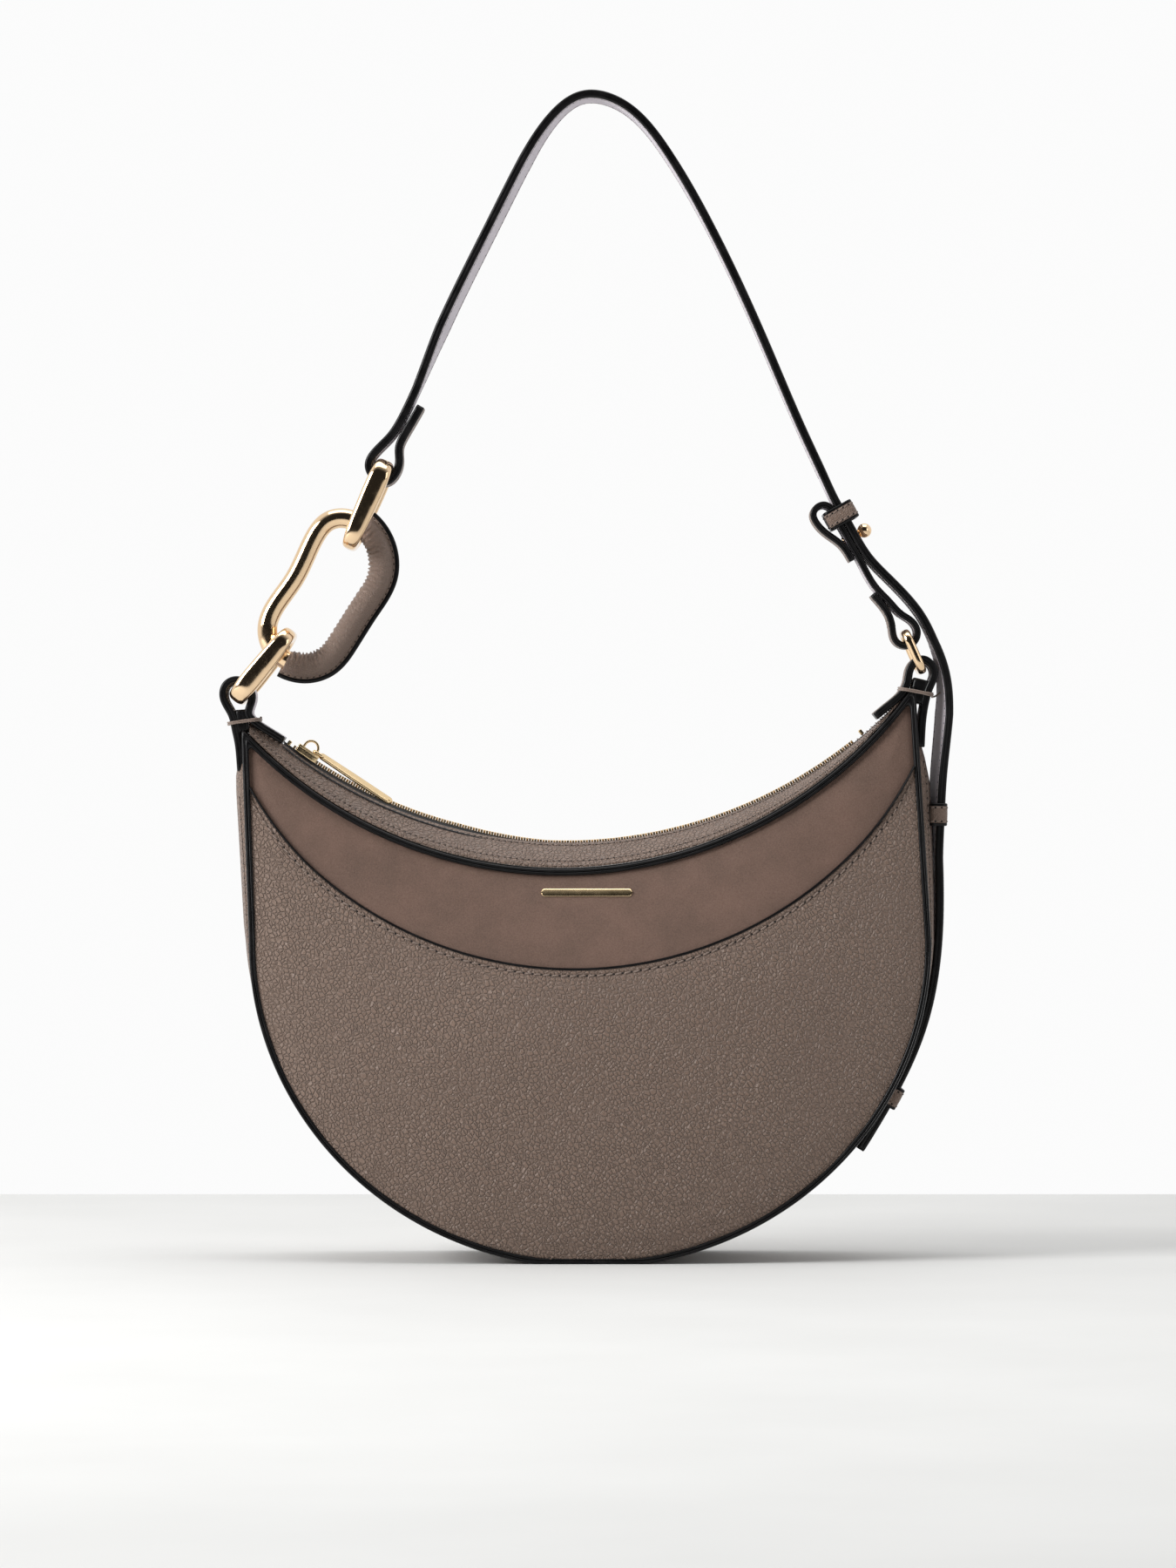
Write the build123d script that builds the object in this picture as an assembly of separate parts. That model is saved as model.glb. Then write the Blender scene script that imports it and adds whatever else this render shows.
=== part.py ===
"""Hobo bag with a crescent body, a chain-link shoulder strap and a top zip.

Millimetres, +Z up, +X to the wearer's right when the front panel faces -Y.
The origin is the middle of the flat base that the bag stands on.
"""

import math
import os

from build123d import *

os.makedirs("parts", exist_ok=True)

# --- Body, seen from the front -------------------------------------------------
BODY_HALF_WIDTH = 156.0  # the lower half is an ellipse
BODY_HALF_HEIGHT = 148.0
WIDEST_Z = 146.0  # height of the ellipse's centre, so its lowest 2 mm are flat
SIDE_TOP_Z = 290.0  # height to which the side lines are drawn before they are cut
LEFT_SIDE_TOP_X = -162.2
RIGHT_SIDE_TOP_X = 147.9
TOP_X, TOP_Z, TOP_RADIUS = -13.5, 377.1, 197.9  # hollow upper edge of both panels
ZIP_X, ZIP_Z, ZIP_RADIUS = -10.1, 404.9, 212.3  # crest, and the slider's arc
LAP_X, LAP_Z, LAP_RADIUS = -7.3, 313.2, 179.6  # upper edge of the lower front panel
TIP_FILLET = 3.0

# --- Body, seen from the side --------------------------------------------------
HALF_DEPTH = 42.0  # seam to middle, at the base
DEPTH_TAPER = 0.128  # how fast that closes up with height
PANEL_BULGE = 16.0
BULGE_RUN = 60.0  # distance from the upper edge over which the bulge grows

# --- Leather, cloth and metal --------------------------------------------------
RIM_WIDTH = 3.2
RIM_PROUD = 2.8  # how far the painted seam edge stands out of the panel
RIM_SUNK = 1.2
YOKE_THICKNESS = 1.2
PANEL_THICKNESS = 1.4
LAP = 8.0
GUSSET_INSET = 1.2
LINING = 0.8
FACING_THICKNESS = 1.8
FACING_HALF_GAP = 4.5
TAPE_THICKNESS = 0.7
TAPE_REACH = 7.5
TAPE_EDGE = 1.3
TAPE_EDGE_RISE = 1.0
ZIP_LEFT_X, ZIP_RIGHT_X = -141.0, 131.5

TOOTH_PITCH = 2.5
TOOTH_LENGTH, TOOTH_REACH, TOOTH_HEIGHT = 1.1, 1.8, 2.4
TOOTH_RADIUS = ZIP_RADIUS - 0.7
TEETH_FROM, TEETH_TO = -36.6, 38.8  # degrees along the zip's arc, right positive
SLIDER_ANGLE = -34.8
SLIDER_LENGTH = 11.0
SADDLE_UP = 4.8  # centre of the slider's hoop above the crest
SADDLE_RADIUS = 3.3
SADDLE_WIRE = 1.1
PULL_LENGTH = 43.0
PULL_REST_LIFT = 6.0  # degrees between the resting pull and the zip

STRAP_WIDTH = 20.0
STRAP_THICKNESS = 3.8
RING_STRAP_THICKNESS = 2.6
TAB_THICKNESS = 3.4
KEEPER_WALL = 1.6

LINK_TUBE = 6.5  # across the tube, in the link's own plane
LINK_TUBE_DEPTH = 8.4
LINK_HALF_WIDTH = 13.7  # centreline
LINK_CORNER = 5.5
BIG_LINK_TUBE = 9.2
SLEEVE_TUBE = 11.0
SLEEVE_FLANGE_MIDDLE = 6.1  # from the tube's middle to the middle of its flange
RING_TUBE = 3.6
RING_HALF_WIDTH = 12.4  # centreline
RING_CORNER = 4.4

# --- Places, as (x, z) ---------------------------------------------------------
LOWER_LINK_ENDS = ((-161.7, 258.5), (-138.9, 286.4))
UPPER_LINK_ENDS = ((-110.2, 328.8), (-94.7, 364.0))
OVAL_RING_ENDS = ((152.4, 270.3), (144.9, 287.2))
BIG_LINK_LINE = (
    (-113.2, 340.4), (-120.6, 339.0), (-126.4, 332.6), (-130.8, 323.6),
    (-136.6, 312.0), (-144.2, 301.2), (-148.6, 291.0), (-146.6, 281.0),
    (-139.6, 274.8), (-131.0, 272.8), (-122.8, 275.2), (-114.8, 284.4),
    (-104.6, 300.4), (-96.8, 315.0), (-98.0, 327.4), (-104.6, 336.6),
)
LEFT_TAB_LINE = (
    (-141.0, 238.0), (-147.8, 242.2), (-153.8, 246.2), (-156.9, 250.2),
    (-155.4, 256.8), (-157.2, 263.0), (-162.4, 265.8), (-167.4, 263.4),
    (-168.4, 257.6), (-164.6, 249.8), (-163.0, 243.6), (-161.6, 237.0),
    (-160.9, 231.0), (-160.4, 224.0),
)
RIGHT_TAB_LINE = (
    (131.0, 249.0), (137.6, 254.4), (143.4, 259.8), (145.9, 265.4),
    (147.4, 271.6), (152.8, 275.3), (158.0, 270.0), (156.0, 262.6),
    (153.9, 255.6), (152.8, 249.0), (152.2, 242.0), (151.9, 235.0),
)
STRAP_LINE = (
    (-76.2, 391.6), (-80.6, 384.6), (-84.2, 377.4), (-87.2, 370.6),
    (-87.6, 364.0), (-94.7, 356.7), (-101.8, 363.8), (-98.2, 371.6),
    (-92.2, 378.0), (-87.4, 386.6), (-80.6, 400.0), (-71.0, 421.0),
    (-53.0, 464.4), (-40.6, 487.0), (-31.4, 507.2), (-19.4, 525.0),
    (-3.0, 534.4), (13.0, 531.4), (23.4, 523.6), (34.2, 510.0),
    (56.6, 471.6), (81.0, 419.2), (98.2, 379.2), (108.2, 357.6),
    (112.3, 348.9), (115.2, 343.7), (119.2, 336.7), (123.1, 329.7),
    (128.7, 321.3), (136.0, 313.6), (143.9, 305.6), (152.0, 295.5),
    (157.6, 284.6), (161.6, 273.0), (163.2, 262.0), (163.0, 250.0),
    (160.8, 226.0), (159.8, 204.0), (160.4, 178.0), (159.4, 140.0),
    (152.6, 106.0), (138.6, 74.6), (124.0, 50.0),
)
RING_STRAP_LINE = (
    (119.8, 320.2), (114.6, 327.8), (109.4, 332.0), (104.0, 338.0),
    (102.6, 342.4), (106.8, 346.3), (110.9, 344.5), (113.1, 340.2),
    (116.1, 335.0), (119.0, 329.8), (123.5, 321.9), (131.4, 308.2),
    (137.8, 301.4), (142.6, 296.4), (148.2, 292.4), (150.4, 287.0),
    (146.6, 281.7), (140.8, 283.4), (138.7, 290.6), (136.8, 296.4),
    (133.2, 301.4), (129.8, 305.2),
)
STRAP_RUN_POINT = (117.2, 340.2)  # on the strap, at the folded keeper
STRAP_RUN = (0.488, -0.873)  # the strap's way down there
STRAP_OUT = (0.873, 0.488)  # away from the bag's middle
KEEPER_FROM, KEEPER_TO = -6.75, 2.25
KEEPER_IN, KEEPER_OUT = -6.6, 4.6
STUD_ALONG = 9.2  # from STRAP_RUN_POINT, down the strap
STUD_BALL = 6.6
STUD_BALL_UP = 5.3  # ball's middle above the strap's middle
STUD_POST = 2.8
STUD_POST_LENGTH = 5.0
STUD_SHANK = 2.7
STUD_SHANK_LENGTH = 3.05
STUD_HEAD = 4.6
STUD_HEAD_THICKNESS = 0.5
STUD_HEAD_DOWN = 5.3  # head's middle below the strap's middle
STRAP_HOLE = 3.8
RING_STRAP_HOLE = 2.9
RING_STRAP_MIDDLE = 3.4  # below the strap's middle

# x and z of the strap there, its lean in degrees, and the foot that reaches the gusset
UPPER_SIDE_KEEPER = (159.9, 204.0, 1.0, 6.5)
LOWER_SIDE_KEEPER = (138.6, 74.6, 28.5, 2.5)
SIDE_KEEPER_LENGTH = 10.5
SIDE_KEEPER_FOOT_WIDTH = 14.0
KEEPER_PLAY = 1.2

EMBLEM_X, EMBLEM_Z = -1.6, 168.5
EMBLEM_LENGTH, EMBLEM_HEIGHT, EMBLEM_THICKNESS = 42.0, 3.6, 0.8
POCKET_Z = 92.0
POCKET_WIDTH, POCKET_HEIGHT, POCKET_CORNER = 130.0, 84.0, 8.0

SLIDER_WIDTH = 8.0
SLIDER_PLATE_FROM, SLIDER_PLATE_TO = 2.4, 3.7  # above the crest
SLIDER_FLANGE = 1.0
SLIDER_FLANGE_FROM, SLIDER_FLANGE_TO = 0.1, 2.6
HOOP_LEG_FOOT = 3.2
PULL_START = 1.6
PULL_WIDTH, PULL_THICKNESS, PULL_CORNER = 5.0, 1.8, 1.6
PULL_EYE = 2.0
TOP_STOP_ANGLE, BOTTOM_STOP_ANGLE = -37.4, 39.6
TOP_STOP_REACH = 1.2
STOP_LENGTH = 1.6
FLANGE_THICKNESS, FLANGE_DEPTH = 2.4, 4.6

ZIP_AXIS = Axis((ZIP_X, 0, ZIP_Z), (0, -1, 0))
FAR = 400.0


def half_depth(z):
    """Distance of the seam from the middle plane at this height."""
    return HALF_DEPTH - DEPTH_TAPER * z


def outline(inset, top_inset=None):
    """Front view of the body, moved inward; sketch x and y are x and z."""
    lower = Pos(0, WIDEST_Z) * Ellipse(BODY_HALF_WIDTH - inset, BODY_HALF_HEIGHT - inset)
    upper = Polygon(
        (-BODY_HALF_WIDTH + inset, WIDEST_Z),
        (BODY_HALF_WIDTH - inset, WIDEST_Z),
        (RIGHT_SIDE_TOP_X - inset, SIDE_TOP_Z),
        (LEFT_SIDE_TOP_X + inset, SIDE_TOP_Z),
        align=None,
    )
    rise = inset if top_inset is None else top_inset
    hollow = Pos(TOP_X, TOP_Z) * Circle(TOP_RADIUS + rise)
    under = Pos(0, -FAR / 2) * Rectangle(2 * FAR, FAR)
    shape = lower + upper - hollow - under
    tips = shape.vertices().sort_by(Axis.Y)[-2:]
    return fillet(tips, TIP_FILLET)


def prism(sketch, half_length=FAR / 2):
    """A front-view sketch drawn out both ways along Y."""
    return extrude(Plane.XZ * sketch, amount=half_length, both=True)


def seam_slab(inner, outer):
    """Everything between two planes along the front seam plane."""
    low, high = -20.0, 320.0
    section = Polygon(
        (-half_depth(low) - inner, low),
        (-half_depth(high) - inner, high),
        (-half_depth(high) - outer, high),
        (-half_depth(low) - outer, low),
        align=None,
    )
    return extrude(Plane.YZ * section, amount=FAR, both=True)


def bulge(x, z):
    """How far the panel stands out of the seam plane."""
    below = max(0.0, (WIDEST_Z - z) / BODY_HALF_HEIGHT)
    rounded = 1 - (x / BODY_HALF_WIDTH) ** 2 - below**2
    from_top = math.hypot(x - TOP_X, z - TOP_Z) - TOP_RADIUS
    return PANEL_BULGE * rounded * math.tanh(from_top / BULGE_RUN)


def panel_face():
    """The front panel's inner surface, drawn past the outline all round."""
    columns = [-172 + 344 * i / 32 for i in range(33)]
    rows = [-12 + 290 * i / 28 for i in range(29)]
    points = [
        [Vector(x, -half_depth(z) - bulge(x, z), z) for z in rows] for x in columns
    ]
    return Face.make_surface_from_array_of_points(points, tol=0.05)


PANEL_FACE = panel_face()


def layer(sketch, inner, outer):
    """A piece of the front panel between two depths outside its inner surface."""
    face = Pos(0, -inner, 0) * PANEL_FACE
    sheet = extrude(face, amount=outer - inner, dir=(0, -1, 0))
    return prism(sketch) & sheet


def cavity(inset, top_inset=None):
    """The space inside both panels."""
    face = Pos(0, inset - RIM_WIDTH, 0) * PANEL_FACE
    front = extrude(face, amount=120, dir=(0, 1, 0))
    back = mirror(front, about=Plane.XZ)
    return prism(outline(inset, top_inset)) & front & back


def ribbon(points, width, thickness):
    """A flat strap swept along a line of (x, z) points."""
    line = Spline(*[Vector(x, 0, z) for x, z in points])
    start = Plane(origin=line @ 0, x_dir=(0, 1, 0), z_dir=line % 0)
    return sweep(start * Rectangle(width, thickness), path=line)


# --- Body ------------------------------------------------------------------------
def make_front_rim():
    ring = outline(0) - outline(RIM_WIDTH)
    return prism(ring) & seam_slab(-RIM_SUNK, RIM_PROUD)


def make_front_yoke():
    area = outline(RIM_WIDTH) & Pos(LAP_X, LAP_Z) * Circle(LAP_RADIUS + LAP)
    return layer(area, 0, YOKE_THICKNESS)


def make_front_panel():
    shape = outline(RIM_WIDTH)
    seen = shape - Pos(LAP_X, LAP_Z) * Circle(LAP_RADIUS)
    under = shape - Pos(LAP_X, LAP_Z) * Circle(LAP_RADIUS + LAP)
    outer = layer(seen, YOKE_THICKNESS, YOKE_THICKNESS + PANEL_THICKNESS)
    return outer + layer(under, 0, YOKE_THICKNESS)


def make_back_panel():
    sheet = layer(outline(RIM_WIDTH), 0, PANEL_THICKNESS)
    return mirror(sheet, about=Plane.XZ)


def make_gusset():
    ring = outline(GUSSET_INSET) - outline(RIM_WIDTH)
    open_top = Pos(TOP_X, TOP_Z) * Circle(TOP_RADIUS + RIM_WIDTH + 6)
    low, high = -20.0, 320.0
    between = Polygon(
        (-half_depth(low) + RIM_SUNK, low),
        (half_depth(low) - RIM_SUNK, low),
        (half_depth(high) - RIM_SUNK, high),
        (-half_depth(high) + RIM_SUNK, high),
        align=None,
    )
    return prism(ring - open_top) & extrude(Plane.YZ * between, amount=FAR, both=True)


def make_lining():
    outer = cavity(RIM_WIDTH)
    inner = cavity(RIM_WIDTH + LINING, top_inset=-12)
    return outer - inner


def make_inner_pocket():
    area = Pos(0, POCKET_Z) * RectangleRounded(POCKET_WIDTH, POCKET_HEIGHT, POCKET_CORNER)
    sheet = layer(area, -2 * LINING, -LINING)
    return mirror(sheet, about=Plane.XZ)


def make_emblem_bar():
    area = Pos(EMBLEM_X, EMBLEM_Z) * SlotOverall(EMBLEM_LENGTH, EMBLEM_HEIGHT)
    return layer(area, YOKE_THICKNESS, YOKE_THICKNESS + EMBLEM_THICKNESS)


# --- Zip and the facings that carry it ---------------------------------------------
def crest_edge(y, radius, z_drop=0.0):
    """An arc of the zip's circle, at this depth."""
    points = []
    for x in (ZIP_LEFT_X, (ZIP_LEFT_X + ZIP_RIGHT_X) / 2, ZIP_RIGHT_X):
        z = ZIP_Z - math.sqrt(radius**2 - (x - ZIP_X) ** 2) - z_drop
        points.append(Vector(x, y, z))
    return ThreePointArc(*points).edge()


def rim_edge(z_drop):
    """The line along the top of the front rim where the facing starts."""
    points = []
    for i in range(13):
        x = ZIP_LEFT_X + (ZIP_RIGHT_X - ZIP_LEFT_X) * i / 12
        z = TOP_Z - math.sqrt(TOP_RADIUS**2 - (x - TOP_X) ** 2)
        points.append(Vector(x, -half_depth(z), z + FACING_THICKNESS - z_drop))
    return Spline(*points).edge()


def facing_face(z_drop):
    lower = rim_edge(z_drop)
    upper = crest_edge(-FACING_HALF_GAP, ZIP_RADIUS, z_drop)
    return Face.make_surface_from_curves(lower, upper)


def make_front_facing():
    return extrude(facing_face(0), amount=FACING_THICKNESS, dir=(0, 0, -1))


def make_front_zip_tape():
    sheet = extrude(facing_face(FACING_THICKNESS), amount=TAPE_THICKNESS, dir=(0, 0, -1))
    kept = Pos(0, -(TAPE_REACH + FACING_HALF_GAP) / 2, 220)
    kept = kept * Box(FAR, TAPE_REACH - FACING_HALF_GAP, 200)
    outer = crest_edge(-FACING_HALF_GAP, ZIP_RADIUS, FACING_THICKNESS)
    inner = crest_edge(-TAPE_EDGE, ZIP_RADIUS - TAPE_EDGE_RISE)
    rising = Face.make_surface_from_curves(outer, inner)
    return (sheet & kept) + extrude(rising, amount=TAPE_THICKNESS, dir=(0, 0, -1))


def make_zip_teeth(side, shift):
    """Teeth of one side: side is -1 for the front tape and 1 for the back one."""
    step = math.degrees(TOOTH_PITCH / TOOTH_RADIUS)
    middle_y = side * (TAPE_EDGE - TOOTH_REACH / 2)
    block = Box(TOOTH_LENGTH, TOOTH_REACH, TOOTH_HEIGHT)
    tooth = Pos(ZIP_X, middle_y, ZIP_Z - TOOTH_RADIUS) * block
    count = int((TEETH_TO - TEETH_FROM) / step)
    return Compound(
        children=[
            tooth.rotate(ZIP_AXIS, TEETH_FROM + (i + shift) * step) for i in range(count)
        ]
    )


def make_zip_stops(angle, reach):
    """A pair of clamped metal stops across the end of the teeth."""
    blocks = []
    for side in (-1, 1):
        middle_y = side * (TAPE_EDGE - reach / 2)
        block = Box(STOP_LENGTH, reach, TOOTH_HEIGHT)
        block = Pos(ZIP_X, middle_y, ZIP_Z - TOOTH_RADIUS) * block
        blocks.append(block.rotate(ZIP_AXIS, angle))
    return blocks


def make_zip_top_stops():
    return Compound(children=make_zip_stops(TOP_STOP_ANGLE, TOP_STOP_REACH))


def make_zip_bottom_stop():
    front, back = make_zip_stops(BOTTOM_STOP_ANGLE, TAPE_EDGE)
    return front + back


def arc_body(y_half, r_top, r_bottom, length, centre_y=0.0):
    """A block that follows the zip's arc, made at the arc's lowest point."""
    plane = Plane(origin=(ZIP_X, 0, ZIP_Z), x_dir=(0, 1, 0), z_dir=(-1, 0, 0))
    section = Pos(centre_y, (r_top + r_bottom) / 2) * Rectangle(2 * y_half, r_bottom - r_top)
    angle = math.degrees(length / ZIP_RADIUS)
    block = revolve(plane * section, axis=ZIP_AXIS, revolution_arc=angle)
    return block.rotate(ZIP_AXIS, -angle / 2)


def slider_place(x, up):
    """A place over the slider, along the zip (x) and up from the crest."""
    return Pos(ZIP_X + x, 0, ZIP_Z - ZIP_RADIUS + up)


def make_zip_slider():
    top, bottom = ZIP_RADIUS - SLIDER_PLATE_TO, ZIP_RADIUS - SLIDER_PLATE_FROM
    body = arc_body(SLIDER_WIDTH / 2, top, bottom, SLIDER_LENGTH)
    top, bottom = ZIP_RADIUS - SLIDER_FLANGE_TO, ZIP_RADIUS - SLIDER_FLANGE_FROM
    for side in (-1, 1):
        middle = side * (SLIDER_WIDTH - SLIDER_FLANGE) / 2
        body += arc_body(SLIDER_FLANGE / 2, top, bottom, SLIDER_LENGTH, middle)
    hoop = slider_place(0, SADDLE_UP) * Rot(90, 0, 0) * Torus(SADDLE_RADIUS, SADDLE_WIRE / 2)
    lower_half = slider_place(0, SADDLE_UP - SADDLE_RADIUS)
    lower_half *= Box(4 * SADDLE_RADIUS, 4 * SADDLE_RADIUS, 2 * SADDLE_RADIUS)
    body += hoop - lower_half
    for side in (-1, 1):
        leg = slider_place(side * SADDLE_RADIUS, (SADDLE_UP + HOOP_LEG_FOOT) / 2)
        body += leg * Cylinder(SADDLE_WIRE / 2, SADDLE_UP - HOOP_LEG_FOOT)
    return body.rotate(ZIP_AXIS, SLIDER_ANGLE)


def make_zip_pull():
    bar = Box(PULL_LENGTH, PULL_WIDTH, PULL_THICKNESS)
    bar = Pos(PULL_START + PULL_LENGTH / 2, 0, 0) * bar
    bar = fillet(bar.edges().filter_by(Axis.Z), PULL_CORNER)
    eye = Pos(SADDLE_RADIUS, 0, 0) * Box(PULL_EYE, PULL_EYE, 2 * PULL_THICKNESS)
    pull = slider_place(0, SADDLE_UP) * Rot(0, -PULL_REST_LIFT, 0) * (bar - eye)
    return pull.rotate(ZIP_AXIS, SLIDER_ANGLE)


# --- Chain ---------------------------------------------------------------------------
def oval_path(ends, half_width, corner):
    """Closed oval wire in the plane of the Y axis and the line between two ends."""
    (x0, z0), (x1, z1) = ends
    length = math.hypot(x1 - x0, z1 - z0)
    middle = ((x0 + x1) / 2, 0, (z0 + z1) / 2)
    along = ((x1 - x0) / length, 0, (z1 - z0) / length)
    normal = Vector(*along).cross(Vector(0, 1, 0))
    plane = Plane(origin=middle, x_dir=along, z_dir=normal)
    return plane, plane * RectangleRounded(length, 2 * half_width, corner).wire()


def make_link(ends):
    plane, path = oval_path(ends, LINK_HALF_WIDTH, LINK_CORNER)
    start = Plane(origin=path @ 0, x_dir=plane.z_dir, z_dir=path % 0)
    return sweep(start * Ellipse(LINK_TUBE_DEPTH / 2, LINK_TUBE / 2), path=path)


def make_oval_ring():
    _, path = oval_path(OVAL_RING_ENDS, RING_HALF_WIDTH, RING_CORNER)
    start = Plane(origin=path @ 0, z_dir=path % 0)
    return sweep(start * Circle(RING_TUBE / 2), path=path)


def big_link_path():
    return Spline(*[Vector(x, 0, z) for x, z in BIG_LINK_LINE], periodic=True)


def make_big_link():
    line = big_link_path()
    return sweep(Plane(origin=line @ 0, z_dir=line % 0) * Circle(BIG_LINK_TUBE / 2), path=line)


def make_big_link_sleeve():
    """Leather wrapped round the link and sewn into a flange along its outer side."""
    whole = big_link_path().edge()
    ends = [Vector(x, 0, z) for x, z in (BIG_LINK_LINE[8], BIG_LINK_LINE[-1])]
    line = whole.trim(*[whole.param_at_point(end) for end in ends])
    flange = Pos(0, -SLEEVE_FLANGE_MIDDLE) * Rectangle(FLANGE_THICKNESS, FLANGE_DEPTH)
    section = Circle(SLEEVE_TUBE / 2) + flange - Circle(BIG_LINK_TUBE / 2)
    start = Plane(origin=line @ 0, x_dir=(0, 1, 0), z_dir=line % 0)
    return sweep(start * section, path=line)


# --- Tabs, straps, keepers and stud --------------------------------------------------
def run_place(along, out):
    """A place on the strap's straight run: down the strap, and out from it."""
    x = STRAP_RUN_POINT[0] + along * STRAP_RUN[0] + out * STRAP_OUT[0]
    z = STRAP_RUN_POINT[1] + along * STRAP_RUN[1] + out * STRAP_OUT[1]
    return Plane(origin=(x, 0, z), x_dir=(STRAP_OUT[0], 0, STRAP_OUT[1]), z_dir=(0, -1, 0))


def stud_axis_plane(out):
    """A plane square to the stud's screw, at this distance out of the strap."""
    origin = run_place(STUD_ALONG, out).origin
    return Plane(origin=origin, x_dir=(0, 1, 0), z_dir=(STRAP_OUT[0], 0, STRAP_OUT[1]))


def stud_bore(out, diameter, length):
    """A cylinder along the stud's screw, centred at this distance out of the strap."""
    return stud_axis_plane(out) * Cylinder(diameter / 2, length)


def make_strap():
    hole = stud_bore(0, STRAP_HOLE, 2 * STRAP_THICKNESS)
    return ribbon(STRAP_LINE, STRAP_WIDTH, STRAP_THICKNESS) - hole


def make_ring_strap():
    hole = stud_bore(-RING_STRAP_MIDDLE, RING_STRAP_HOLE, STUD_SHANK_LENGTH + 1)
    return ribbon(RING_STRAP_LINE, STRAP_WIDTH, RING_STRAP_THICKNESS) - hole


def make_stud_ball():
    ball = stud_axis_plane(STUD_BALL_UP) * Sphere(STUD_BALL / 2)
    return ball + stud_bore(STUD_BALL_UP - STUD_POST_LENGTH + 0.15, STUD_POST, STUD_POST_LENGTH)


def make_stud_screw():
    shank_down = STUD_HEAD_DOWN - STUD_SHANK_LENGTH / 2 - STUD_HEAD_THICKNESS / 4
    shank = stud_bore(-shank_down, STUD_SHANK, STUD_SHANK_LENGTH)
    return shank + stud_bore(-STUD_HEAD_DOWN, STUD_HEAD, STUD_HEAD_THICKNESS)


def make_strap_keeper():
    length = KEEPER_TO - KEEPER_FROM
    depth = KEEPER_OUT - KEEPER_IN
    place = run_place((KEEPER_FROM + KEEPER_TO) / 2, (KEEPER_IN + KEEPER_OUT) / 2)
    wide = STRAP_WIDTH + KEEPER_PLAY
    outer = Box(depth + 2 * KEEPER_WALL, length, wide + 2 * KEEPER_WALL)
    return place * (outer - Box(depth, 2 * length, wide))


def side_keeper(x, z, lean, foot):
    """A loop round the strap's tail, with a foot that reaches the gusset."""
    wide = STRAP_WIDTH + KEEPER_PLAY
    deep = STRAP_THICKNESS + KEEPER_PLAY
    wall = 2 * KEEPER_WALL
    loop = Box(deep + wall, wide + wall, SIDE_KEEPER_LENGTH)
    loop -= Box(deep, wide, 2 * SIDE_KEEPER_LENGTH)
    reach = Box(foot, SIDE_KEEPER_FOOT_WIDTH, SIDE_KEEPER_LENGTH - 2 * KEEPER_WALL)
    loop += Pos(-(deep + foot) / 2 - KEEPER_WALL, 0, 0) * reach
    return Pos(x, 0, z) * Rot(0, lean, 0) * loop - prism(outline(GUSSET_INSET))


def make_tab(line):
    return ribbon(line, STRAP_WIDTH, TAB_THICKNESS)


NODES = {
    "front_rim": make_front_rim,
    "back_rim": lambda: mirror(make_front_rim(), about=Plane.XZ),
    "front_yoke": make_front_yoke,
    "front_panel": make_front_panel,
    "back_panel": make_back_panel,
    "gusset": make_gusset,
    "lining": make_lining,
    "inner_pocket": make_inner_pocket,
    "emblem_bar": make_emblem_bar,
    "front_facing": make_front_facing,
    "back_facing": lambda: mirror(make_front_facing(), about=Plane.XZ),
    "front_zip_tape": make_front_zip_tape,
    "back_zip_tape": lambda: mirror(make_front_zip_tape(), about=Plane.XZ),
    "front_zip_teeth": lambda: make_zip_teeth(-1, 0.0),
    "back_zip_teeth": lambda: make_zip_teeth(1, 0.5),
    "zip_top_stops": make_zip_top_stops,
    "zip_bottom_stop": make_zip_bottom_stop,
    "zip_slider": make_zip_slider,
    "zip_pull": make_zip_pull,
    "lower_link": lambda: make_link(LOWER_LINK_ENDS),
    "upper_link": lambda: make_link(UPPER_LINK_ENDS),
    "big_link": make_big_link,
    "big_link_sleeve": make_big_link_sleeve,
    "oval_ring": make_oval_ring,
    "strap": make_strap,
    "ring_strap": make_ring_strap,
    "stud_ball": make_stud_ball,
    "stud_screw": make_stud_screw,
    "strap_keeper": make_strap_keeper,
    "upper_side_keeper": lambda: side_keeper(*UPPER_SIDE_KEEPER),
    "lower_side_keeper": lambda: side_keeper(*LOWER_SIDE_KEEPER),
    "left_link_tab": lambda: make_tab(LEFT_TAB_LINE),
    "right_ring_tab": lambda: make_tab(RIGHT_TAB_LINE),
}

for name, make in NODES.items():
    export_step(make(), os.path.join("parts", name + ".step"))
    print(name)
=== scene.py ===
# %% [markdown]
# A crescent hobo bag stands on a pale floor: two bulged leather panels with black painted
# seams, a zip along the hollow top, and one shoulder strap on a chain of three gold links.
# The imported CAD model is loaded first. It gives the frame and the bodies that move. Every
# length below is in millimetres until a point is put in a mesh, because a bag maker thinks
# in millimetres and Blender in metres.

# %% Load the frame
import math

import bpy
import numpy as np
from mathutils import Matrix, Vector, noise


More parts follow.
